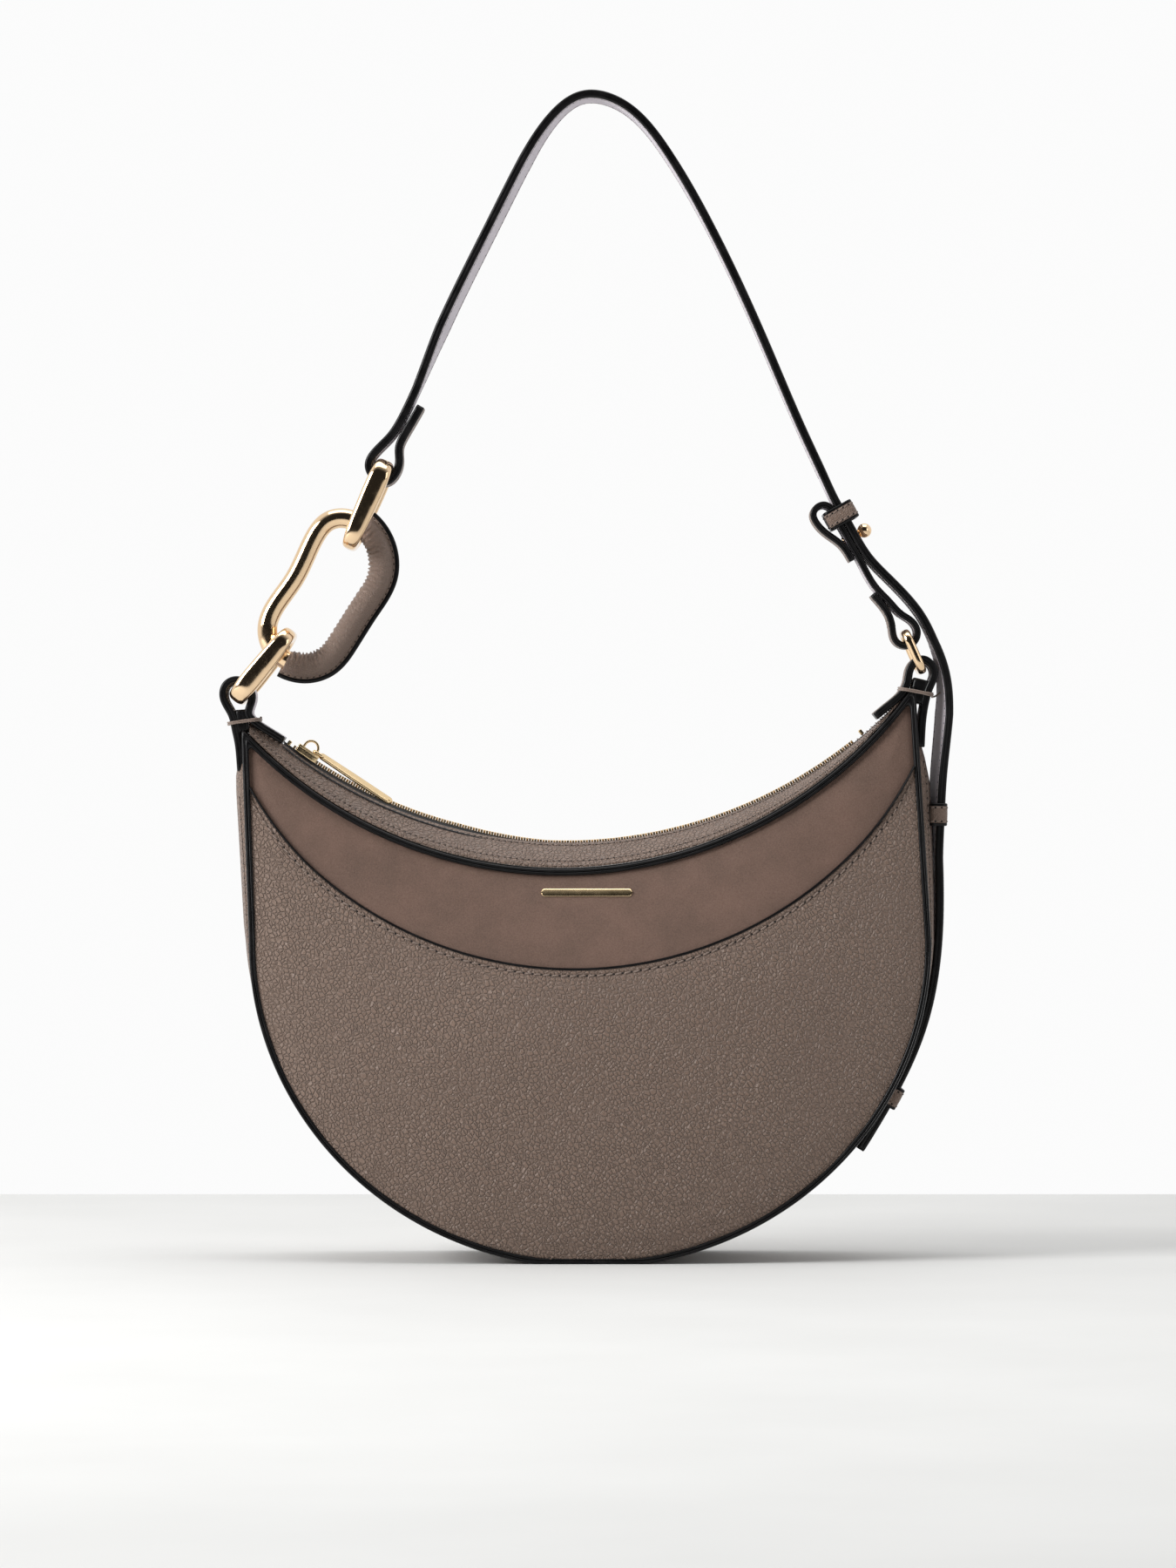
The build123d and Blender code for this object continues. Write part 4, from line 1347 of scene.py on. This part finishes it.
first, last = nearest(dense, BIG_LINK_LINE[8]) - 2, nearest(dense, BIG_LINK_LINE[-1])
wrap_line = dense[first : last + 1]
places, a, b = in_plane(wrap_line)
outward = -b
turning = np.linalg.norm(np.gradient(along(wrap_line), axis=0), axis=1) / WRAP_STEP
turning = np.convolve(turning, np.ones(25) / 25, mode="same")
angles = np.radians(np.linspace(24, 336, 45))
wrap_rows = []
for k in range(len(wrap_line)):
    ring = []
    run = k * WRAP_STEP
    end = min(run, len(wrap_line) * WRAP_STEP - run)
    close = 1 - 0.35 * math.exp(-end / 0.8)
    for angle in angles:
        inner_side = (1 - math.cos(angle)) / 2
        drift = 1.4 * noise.noise(Vector((run / 6, angle * 1.3, 4.0)))
        ripple = math.sin(2 * math.pi * (run + drift) / WRINKLE_PITCH)
        amount = (0.16 + 3.4 * min(0.09, turning[k])) * inner_side**1.2
        amount *= 0.8 + 0.9 * noise.noise(Vector((run / 4.0, angle * 2.1, 8.0)))
        radius = (WRAP_RADIUS + 1.7 * amount * ripple) * close
        ring.append((radius * math.sin(angle), radius * math.cos(angle)))
    wrap_rows.append(ring + WRAP_FLANGE)
wrap = swept("big_link_wrap_leather", (places, a, outward), np.array(wrap_rows))
painted = [1 if FIRST_PAINTED <= j <= LAST_PAINTED else 0 for j in range(len(wrap_rows[0]))]
parts(wrap, painted, len(wrap_line) - 1)
weld(wrap)
dress(wrap, "big_chain_link", [wrap_leather, edge_paint], ["big_link_sleeve"], 55)
for side, name in ((-1, "front"), (1, "back")):
    row = places + outward * 6.0 + np.array([0, side * 0.98, 0])
    face = np.tile([0.0, float(side), 0.0], (len(row), 1))
    stitches(f"wrap_stitches_{name}", row[4:-4], face[4:-4], 2.9, "big_chain_link", thick=0.26, lift=0.04)

# %% [markdown]
# ## Straps
# A strap is two leathers glued back to back: taupe outside, lilac-grey suede inside. Its
# edges are sanded round and painted black, with a faint groove where the two meet. One
# section serves the long strap, the ring strap and both tabs, in their own thicknesses, and
# each column of faces in it knows which leather it belongs to.

# %% Strap section
def strap_section(width, thick):
    """Points all the way round, and the material of each stretch: face, lining or paint."""
    w, t = width / 2, thick / 2
    paint = min(1.0, 0.34 * thick)
    top = [(w - paint, t), (w - 2.0, t * 1.01), (w - 3.2, t), (w * 0.4, t * 1.03), (0, t * 1.04)]
    top += [(-p, q) for p, q in reversed(top[:-1])]
    side = [(-w + 0.35 * paint, t * 0.90), (-w + 0.08 * paint, t * 0.62)]
    side += [(-w, t * 0.32), (-w + 0.13, t * 0.1)]
    edge = side + [(p, -q) for p, q in reversed(side)]
    under = [(-p, -q) for p, q in top]
    other = [(-p, -q) for p, q in edge]
    ring = top + edge + under + other
    stretch = [0] * (len(top) - 1) + [2] * (len(edge) + 1)
    return np.array(ring), stretch + [1] * (len(top) - 1) + [2] * (len(edge) + 1)


def strap_piece(name, line, width, thick, twist=None):
    places, a, b = in_plane(line)
    if twist is not None:
        places, a, b = twisted((places, a, b), twist)
    section, stretch = strap_section(width, thick)
    ends = np.ones(len(line))
    run = np.arange(len(line)) * length_of(line) / (len(line) - 1)
    for far in (run, run[-1] - run):
        ends *= 1 - 0.10 * np.exp(-far / 0.35)
    sections = section[None] * ends[:, None, None]
    piece = swept(name, (places, a, b), sections)
    parts(piece, stretch, len(line) - 1)
    weld(piece)
    for face in piece.data.polygons:
        if len(face.vertices) > 8:  # an end cap
            face.material_index = 2
    return piece, (places, a, b)


STRAP_LEATHERS = [small_leather, strap_suede, edge_paint]


def strap_rows(name, frame_of_strap, width, thick, start, end, pitch=3.4):
    """Stitch rows along both edges and on both faces, between two places of the line."""
    places, a, b = (part[start:end] for part in frame_of_strap)
    made = []
    for side in (-1, 1):
        for face in (-1, 1):
            row = places + a * side * (width / 2 - 2.4) + b * face * (thick / 2 + 0.02)
            one = f"{name}_{side}_{face}"
            made.append(stitches(one, row, b * face, pitch, None, thick=0.22, lift=-0.08))
    return join(name, *made)


# %% [markdown]
# The long strap starts in a loop over the upper link, climbs over the shoulder, passes the
# folded keeper and runs down the bag's right side through two loops. It leans a few degrees,
# so that its lining shows along the inner edge, as it does on a strap that has been worn.

# %% Long strap
STRAP_LINE = (
    (-77.8, 391.6), (-81.8, 384.6), (-85.2, 378.8), (-87.8, 372.6),
    (-87.9, 365.0), (-94.7, 356.8), (-101.7, 363.8), (-97.8, 371.6),
    (-91.6, 378.0), (-86.4, 386.2), (-80.0, 399.6), (-71.0, 421.0),
    (-57.6, 449.8), (-49.8, 465.4), (-38.8, 487.4), (-28.2, 507.8), (-17.8, 523.6),
    (-3.0, 534.4), (13.0, 531.4), (23.4, 523.6), (34.2, 510.0),
    (56.6, 471.6), (81.0, 419.2), (98.2, 379.2), (108.2, 357.6),
    (112.3, 348.9), (115.2, 343.7), (119.2, 336.7), (123.1, 329.7),
    (128.7, 321.3), (136.0, 313.6), (143.9, 305.6), (152.0, 295.5),
    (157.6, 284.6), (161.6, 273.0), (163.2, 262.0), (163.0, 250.0),
    (160.8, 226.0), (159.8, 204.0), (160.4, 178.0), (159.4, 140.0),
    (152.6, 106.0), (138.6, 74.6), (124.0, 50.0),
)
STRAP_WIDTH, STRAP_THICK = 20.0, 3.8
strap_line = smooth_line(STRAP_LINE, 1.0)
strap_run = np.arange(len(strap_line)) * 1.0
lean_from = nearest(strap_line, (-80.6, 400.0))
lean_apex = nearest(strap_line, (-3.0, 534.4))
lean_right = nearest(strap_line, (56.6, 471.6))
tail_top = nearest(strap_line, (157.6, 284.6))
tail_mid = nearest(strap_line, (163.0, 250.0))
tail_keeper = nearest(strap_line, (159.8, 204.0))
lean_places = [0, lean_from, lean_from + 30, lean_apex - 40, lean_apex, lean_right]
lean_places += [tail_top, tail_mid, tail_keeper, tail_keeper + 20]
strap_lean = np.interp(strap_run, lean_places, [0, 0, -8.5, -8.5, -2.5, 0, 0, -13.0, -9.0, 0])
strap, strap_frame = strap_piece(
    "shoulder_strap_leather", strap_line, STRAP_WIDTH, STRAP_THICK, strap_lean
)
dress(strap, None, STRAP_LEATHERS, ["strap"], 50)
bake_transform(strap)
for name, start, end in (
    ("shoulder_strap_stitches", lean_from - 12, nearest(strap_line, (108.2, 357.6)) - 2),
    ("strap_tail_stitches", nearest(strap_line, (128.7, 321.3)), len(strap_line) - 5),
):
    rows = strap_rows(name, strap_frame, STRAP_WIDTH, STRAP_THICK, start, end)
    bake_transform(rows)

# %% [markdown]
# The ring strap is thinner. It is folded over the stud at its upper end and through the ring
# at its lower one, and rides on the handle whole, because both ends move with it.

# %% Ring strap
RING_STRAP_LINE = (
    (120.4, 320.6), (115.2, 328.2), (109.8, 332.3), (104.0, 338.0),
    (102.6, 342.4), (106.8, 346.3), (110.9, 344.5), (113.1, 340.2),
    (116.1, 335.0), (119.0, 329.8), (123.5, 321.9), (131.4, 308.2),
    (137.8, 301.4), (142.6, 296.4), (148.2, 292.4), (150.4, 287.0),
    (146.6, 281.7), (140.8, 283.4), (138.7, 290.6), (136.8, 296.4),
    (133.2, 301.4), (129.8, 305.2),
)
RING_STRAP_THICK = 3.0
ring_line = smooth_line(RING_STRAP_LINE, 0.5)
ring_strap, ring_strap_frame = strap_piece("ring_strap_leather", ring_line, STRAP_WIDTH, RING_STRAP_THICK)
dress(ring_strap, "handle", STRAP_LEATHERS, ["ring_strap"], 50)
for name, start, end in (
    ("ring_strap_stitches", nearest(ring_line, (123.5, 321.9)), nearest(ring_line, (142.6, 296.4))),
    ("ring_strap_end_stitches", nearest(ring_line, (138.7, 290.6)), len(ring_line) - 4),
):
    rows = strap_rows(name, ring_strap_frame, STRAP_WIDTH, RING_STRAP_THICK, start, end, 3.0)
    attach(rows, "handle")

# %% [markdown]
# ## Tabs
# A tab is a short strap folded over the lower link, or the ring, with one leg on the zip's
# facing and one down the side. Its neck is bound by two rounds of waxed thread, whose end
# is left standing out.

# %% Tabs and their bindings
LEFT_TAB_LINE = (
    (-141.0, 238.0), (-147.8, 242.2), (-153.8, 246.2), (-156.9, 250.2),
    (-155.4, 256.8), (-157.2, 263.0), (-162.4, 265.8), (-167.4, 263.4),
    (-168.4, 257.6), (-164.6, 249.8), (-163.0, 243.6), (-161.6, 237.0),
    (-160.9, 231.0), (-160.4, 224.0),
)
RIGHT_TAB_LINE = (
    (131.0, 249.0), (137.6, 254.4), (143.4, 259.8), (145.9, 265.4),
    (147.4, 271.6), (152.8, 275.3), (158.0, 270.0), (156.0, 262.6),
    (153.9, 255.6), (152.8, 249.0), (152.2, 242.0), (151.9, 235.0),
)
TAB_WIDTH, TAB_THICK = 20.0, 3.6
BINDING_TURNS, BINDING_PITCH, BINDING_RADIUS = 2, 0.85, 0.42


def tab(name, node_name, line_points, filler_points, filler_thick, neck, binding_room):
    """neck holds the (x, z) places just outside the left and right legs at the neck."""
    line = smooth_line(line_points, 0.45)
    piece, _ = strap_piece(name, line, TAB_WIDTH, TAB_THICK)
    dress(piece, None, STRAP_LEATHERS, [node_name], 50)
    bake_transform(piece)
    filler_line = smooth_line(filler_points, 0.6)
    filler, _ = strap_piece(f"{name}_filler", filler_line, TAB_WIDTH - 0.6, filler_thick)
    dress(filler, None, STRAP_LEATHERS, degrees=50)
    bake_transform(filler)
    left, right = np.array(neck)
    deep = TAB_WIDTH / 2 + binding_room
    across = unit(right - left)
    down = np.array([across[1], -across[0]])
    half = np.linalg.norm(right - left) / 2
    centre = (left + right) / 2
    thread_line = []
    for t in np.linspace(0, BINDING_TURNS, 34 * BINDING_TURNS):
        angle = 2 * math.pi * t
        c, s = math.cos(angle), math.sin(angle)
        u = half * np.sign(c) * abs(c) ** 0.35
        v = deep * np.sign(s) * abs(s) ** 0.35
        fall = (t - BINDING_TURNS / 2) * BINDING_PITCH + 0.2 * math.sin(angle * 2.1)
        xz = centre + across * u + down * fall
        thread_line.append((xz[0], v, xz[1]))
    tail = np.array(thread_line[-1])
    out = -1 if left[0] < 0 else 1
    for k in (1, 2, 3):
        stray = np.array([out * 1.3 * k * across[0], -0.5 * k, 0.25 * k * k])
        thread_line.append(tuple(tail + stray))
    thread_line = evenly(np.array(thread_line), 36 * BINDING_TURNS + 24)
    way = along(thread_line)
    side = np.cross(way, np.array([down[0], 0.13, down[1]]))
    side /= np.linalg.norm(side, axis=1)[:, None]
    up = np.cross(side, way)
    twist = np.linspace(0, 150, len(thread_line))
    rings = []
    for turn in twist:
        angles = np.arange(9) * 2 * math.pi / 9
        lobes = BINDING_RADIUS * (1 + 0.16 * np.cos(3 * angles + turn))
        rings.append(np.stack([lobes * np.cos(angles), lobes * np.sin(angles)], 1))
    binding = swept(f"{name}_binding", (thread_line, up, side), np.array(rings))
    weld(binding)
    dress(binding, None, [thread], degrees=70)
    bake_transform(binding)


tab(
    "left_tab_leather", "left_link_tab", LEFT_TAB_LINE,
    ((-159.6, 241.6), (-159.9, 246.6), (-160.3, 252.2)), 5.6, ((-166.6, 245.9), (-151.6, 247.9)), 0.8,
)
tab(
    "right_tab_leather", "right_ring_tab", RIGHT_TAB_LINE,
    ((149.9, 255.0), (151.0, 261.0), (152.2, 266.2)), 7.0, ((142.2, 262.0), (157.6, 259.0)), 2.6,
)

# %% [markdown]
# ## Keepers
# A keeper is a leather band closed into a loop round the strap, with painted edges and two
# rows of stitches. One holds the folded end of the ring strap. Two more are sewn to the side
# strip and hold the long strap's tail. The band is a flat section swept round a rectangle.

# %% Keepers
def keeper(name, node_name, centre, out, half_deep, half_wide, length, wall, body):
    """out is the (x, z) direction away from the bag; the strap runs square to it."""
    out3 = np.array([out[0], 0, out[1]])
    run3 = np.array([out[1], 0, -out[0]])
    deep, wide = half_deep + wall / 2, half_wide + wall / 2
    corner = 1.7
    line = evenly(rounded_rectangle(deep, wide, corner, 15), 121)[:-1]
    way = along(line, True)
    middle = np.array([centre[0], 0, centre[1]])
    places = middle + line[:, :1] * out3 + line[:, 1:] * np.array([0, 1.0, 0])
    normal = way[:, 1:] * out3 - way[:, :1] * np.array([0, 1.0, 0])
    w, t = length / 2, wall / 2
    section = [
        (-w, 0.0), (-w + 0.12, t * 0.7), (-w + 0.5, t), (-w + 1.4, t * 1.02), (-w + 2.1, t * 0.86),
        (-w + 2.9, t * 1.08), (0, t * 1.15), (w - 2.9, t * 1.08), (w - 2.1, t * 0.86),
        (w - 1.4, t * 1.02), (w - 0.5, t), (w - 0.12, t * 0.7), (w, 0.0), (w - 0.12, -t * 0.7),
        (w - 0.5, -t), (0, -t), (-w + 0.5, -t), (-w + 0.12, -t * 0.7),
    ]
    run_way = np.tile(run3, (len(places), 1))
    band = swept(name, (places, run_way, normal), section, True)
    paint = [2, 2, 2] + [0] * 6 + [2, 2, 2, 2, 2] + [1, 1] + [2, 2]
    parts(band, paint, len(places))
    weld(band)
    dress(band, body, STRAP_LEATHERS, [node_name], 50)
    for side in (-1, 1):
        row = places + run3 * side * (w - 2.1) + normal * (t * 0.86)
        row_name = f"{name}_stitches_{side}".replace("-1", "a").replace("_1", "_b")
        stitches(row_name, row, normal, 2.8, body, thick=0.34, lift=0.08)


STRAP_OUT = (0.873, 0.488)
run_point = np.array([117.2, 340.2]) + np.array([0.488, -0.873]) * (-6.75 + 2.25) / 2
keeper(
    "fold_keeper_leather", "strap_keeper", run_point + np.array(STRAP_OUT) * (-6.6 + 4.6) / 2,
    STRAP_OUT, 5.6, 10.6, 9.0, 1.6, "keeper",
)
for name, (kx, kz, lean, foot) in (
    ("upper_side_keeper", (159.9, 204.0, 1.0, 6.5)),
    ("lower_side_keeper", (138.6, 74.6, 28.5, 2.5)),
):
    tilt = math.radians(lean)
    keeper(
        f"{name}_leather", name, (kx, kz), (math.cos(tilt), -math.sin(tilt)),
        2.5, 10.6, 10.5, 1.6, "bag",
    )
    foot_out = np.array([math.cos(tilt), 0, -math.sin(tilt)])
    foot_run = np.array([math.sin(tilt), 0, math.cos(tilt)])
    at = np.array([kx, 0, kz]) - foot_out * (2.5 + 1.6 + foot / 2 - 0.3)
    pad = block(f"{name}_foot_leather", (foot + 0.6, 14.0, 7.6), at, foot_out, foot_run, 0.5)
    dress(pad, "bag", [small_leather], degrees=40)

# %% [markdown]
# ## The stud
# The strap's length is set by a ball-headed stud through one of its holes. A turned part
# like this is a profile spun round its axis, so its grid is laid ring by ring: the flange,
# the thin neck, and the ball. The screw behind it has a slotted head.

# %% Stud and screw
stud_out = np.array([0.873, 0, 0.488])
stud_run = np.array([0.488, 0, -0.873])
stud_base = np.array([117.2, 0, 340.2]) + stud_run * 9.2


def turned(name, profile, count=40):
    """profile is (distance out along the stud's axis, radius) from one end to the other."""
    rows = []
    for out, radius in profile:
        t = np.arange(count) * 2 * math.pi / count
        ring = np.outer(np.cos(t), [0, 1.0, 0]) + np.outer(np.sin(t), stud_run)
        rows.append(stud_base + stud_out * out + ring * radius)
    piece = laid(name, rows, ring=True)
    weld(piece)
    return piece


BALL_OUT, BALL_RADIUS = 5.3, 3.3
ball = [
    (BALL_OUT + BALL_RADIUS * math.sin(t), BALL_RADIUS * math.cos(t))
    for t in np.linspace(-1.05, 1.568, 22)
]
post = [(0.0, 0.6), (0.0, 1.4), (1.95, 1.4), (1.95, 2.5), (2.25, 2.6), (2.4, 2.3)]
stud = turned("stud_ball_gold", post + ball)
dress(stud, "handle", [link_gold], ["stud_ball"], 40)
shank = [(-1.9, 0.3), (-1.9, 1.35), (-5.15, 1.35)]
head = [(-5.15, 2.2), (-5.3, 2.3), (-5.7, 2.2), (-5.85, 1.8), (-5.88, 0.2)]
screw = turned("stud_screw_gold", shank + head)
slot_cut = block("slot_cut", (6.0, 0.6, 1.0), stud_base - stud_out * 6.0, stud_run, stud_out, 0.05)
modify(screw, "BOOLEAN", object=slot_cut, operation="DIFFERENCE", solver="EXACT")
bpy.data.objects.remove(slot_cut)
dress(screw, "handle", [link_gold], ["stud_screw"], 35)

# %% [markdown]
# ## The name bar
# The yoke carries a small plain gold bar. It is a slot-shaped sheet that follows the yoke's
# curve, with a crowned face, so that it catches the light along its length.

# %% Name bar
BAR_X, BAR_Z, BAR_LENGTH, BAR_HEIGHT = -1.6, 168.5, 42.0, 3.6
bar_rows = []
for share in np.linspace(-1, 1, 61):
    from_end = (1 - abs(share)) * BAR_LENGTH / 2
    half = BAR_HEIGHT / 2 * math.sqrt(max(0.0, 1 - max(0.0, 1 - from_end / (BAR_HEIGHT / 2)) ** 2))
    ring = round_section(max(half, 0.02), 0.45, 20, 3.0)
    bx = BAR_X + share * BAR_LENGTH / 2
    points = np.array([(bx, BAR_Z + p) for p in ring[:, 0]])
    depth = panel_depth(points, 1.2, 3.0) + 0.28 + ring[:, 1]
    bar_rows.append(np.stack([points[:, 0], -depth, points[:, 1]], 1))
bar = laid("name_bar_gold", bar_rows, ring=True)
weld(bar)
dress(bar, "bag", [zip_gold], ["emblem_bar"], 50)

# %% [markdown]
# ## The lining
# Inside hangs a lining of beige cotton: a front and a back wall joined by a strip round the
# sides and base, with a flat patch pocket on the back wall. They are laid from the same
# outline, a little smaller, and given their cloth's thickness.

# %% Lining and pocket
LINING_INSET, LINING_TOP_INSET, LINING_THICK = 4.2, 6.0, 0.5
lining_left = body_edge(232.0, -1, LINING_INSET, 200)
lining_right = body_edge(246.0, 1, LINING_INSET, 200)


def lining_wall(side):
    """(x, y, z) rows of one wall, from the base to just under the facing."""
    start, end = lining_left[-1], lining_right[-1]
    xs = np.linspace(start[0], end[0], 120)
    top = np.stack([xs, top_edge(xs, LINING_TOP_INSET)], 1)
    points = coons(
        np.linspace(lining_left[0], lining_right[0], 20), top, lining_left, lining_right,
        np.linspace(0, 1, 90), np.linspace(0, 1, 60), 2,
    )
    depth = half_depth(points[..., 1]) + bulge(points[..., 0], points[..., 1]) - 1.2
    crease = unevenness(points, 30.0, 0.8, 31.0 + side)
    return np.stack([points[..., 0], side * (depth - np.abs(crease)), points[..., 1]], -1)


for side, name in ((-1, "front"), (1, "back")):
    wall = laid(f"lining_{name}_cotton", lining_wall(side))
    facing(wall, (0, side, 0))
    thicken(wall, LINING_THICK)
    dress(wall, "bag", [lining_cotton], ["lining"] if side < 0 else [])
loop = evenly(np.concatenate([lining_left[::-1], lining_right]), 260)
side_wall = laid(
    "lining_side_cotton",
    [[(x, s * (half_depth(z) - 1.4), z) for s in np.linspace(-1, 1, 17)] for x, z in loop],
)
facing_down(side_wall)
thicken(side_wall, LINING_THICK)
dress(side_wall, "bag", [lining_cotton])

POCKET_HALF_WIDTH, POCKET_FROM, POCKET_TO = 65, 50, 134
pocket_points = np.array([
    [(x, z) for x in np.linspace(-POCKET_HALF_WIDTH, POCKET_HALF_WIDTH, 53)]
    for z in np.linspace(POCKET_FROM, POCKET_TO, 35)
])
pocket_x, pocket_z = pocket_points[..., 0], pocket_points[..., 1]
pocket_depth = half_depth(pocket_z) + bulge(pocket_x, pocket_z) - 3.2
pocket_depth -= 0.5 * np.abs(unevenness(pocket_points, 34.0, 1.0, 51.0))
pocket = laid("inner_pocket_cotton", np.stack([pocket_x, pocket_depth, pocket_z], -1))
facing(pocket, (0, -1, 0))
thicken(pocket, LINING_THICK)
dress(pocket, "bag", [lining_cotton], ["inner_pocket"])

# %% [markdown]
# ## Floor, light and camera
# The bag stands on a pale matt floor that ends behind it against a white studio. A large
# soft light from the upper left and a smaller one from the right give the leather its shape.
# The white surround makes the gold bright, and the dark room behind the camera gives it the
# dark bands that make it look polished.

# %% Floor
deselect()
bpy.ops.mesh.primitive_plane_add(size=1)
floor = bpy.context.object
floor.name = "studio_floor"
floor.data.vertices.foreach_set(
    "co", np.array([(-2.2, -2.6, 0), (2.2, -2.6, 0), (-2.2, 0.46, 0), (2.2, 0.46, 0)], float).ravel()
)
matt_white, shader = new_finish("matt_white_floor", Roughness=0.85, Specular_IOR_Level=0.2)
grey = node(matt_white, "TexNoise", Vector=object_places(matt_white), Scale=7.0, Detail=4.0)
mottle = ramp(matt_white, grey.outputs["Fac"], (0.3, 0.0), (0.7, 1.0))
pale = blend_colours(matt_white, mottle, (0.63, 0.63, 0.62), (0.66, 0.66, 0.65))
plug(matt_white, pale, shader.inputs["Base Color"])
floor.data.materials.append(matt_white)

# %% [markdown]
# The studio's walls are a world colour: white behind the bag and to its sides, dark behind
# the camera. The camera itself always sees white there. Three softboxes do the rest.

# %% Light
scene = bpy.context.scene
world = bpy.data.worlds.new("studio")
scene.world = world
world.use_nodes = True
tree = world.node_tree
background = tree.nodes["Background"]
direction = tree.nodes.new("ShaderNodeTexCoord").outputs["Generated"]
split = tree.nodes.new("ShaderNodeSeparateXYZ")
tree.links.new(direction, split.inputs[0])
shade = tree.nodes.new("ShaderNodeMapRange")
tree.links.new(split.outputs["Y"], shade.inputs[0])
for i, value in enumerate((-0.75, -0.1, 0.02, 0.95), start=1):
    shade.inputs[i].default_value = value
shade.interpolation_type = "SMOOTHSTEP"
seen = tree.nodes.new("ShaderNodeLightPath")
either = tree.nodes.new("ShaderNodeMath")
either.operation = "MAXIMUM"
tree.links.new(shade.outputs[0], either.inputs[0])
tree.links.new(seen.outputs["Is Camera Ray"], either.inputs[1])
tree.links.new(either.outputs[0], background.inputs["Color"])
background.inputs["Strength"].default_value = 0.97


def softbox(name, place, target, width, height, power):
    data = bpy.data.lights.new(name, "AREA")
    data.shape = "RECTANGLE"
    data.size, data.size_y, data.energy = width, height, power
    lamp = bpy.data.objects.new(name, data)
    scene.collection.objects.link(lamp)
    lamp.location = place
    lamp.rotation_euler = (Vector(target) - Vector(place)).to_track_quat("-Z", "Y").to_euler()
    return lamp


softbox("key_softbox", (-1.45, -0.80, 0.95), (0, 0, 0.2), 0.8, 0.9, 30.0)
softbox("fill_softbox", (1.5, -1.2, 0.75), (0, 0, 0.2), 0.7, 1.2, 4.0)
softbox("top_softbox", (0.0, -0.1, 1.7), (0, 0, 0.2), 1.4, 1.0, 9.0)
scene.view_settings.view_transform = "Standard"
scene.view_settings.look = "None"

# %% [markdown]
# The camera stands level, three metres away, with a lens long enough to keep the bag's
# shape free of perspective.

# %% Camera
CAMERA_DISTANCE = 3.0
camera_data = bpy.data.cameras.new("camera")
camera = bpy.data.objects.new("camera", camera_data)
scene.collection.objects.link(camera)
camera.location = (-0.001, -CAMERA_DISTANCE, 0.218)
camera.rotation_euler = (math.pi / 2, 0, 0)
camera_data.sensor_width = 36.0
camera_data.lens = 36.0 * (CAMERA_DISTANCE - 0.010) / 0.720
scene.camera = camera
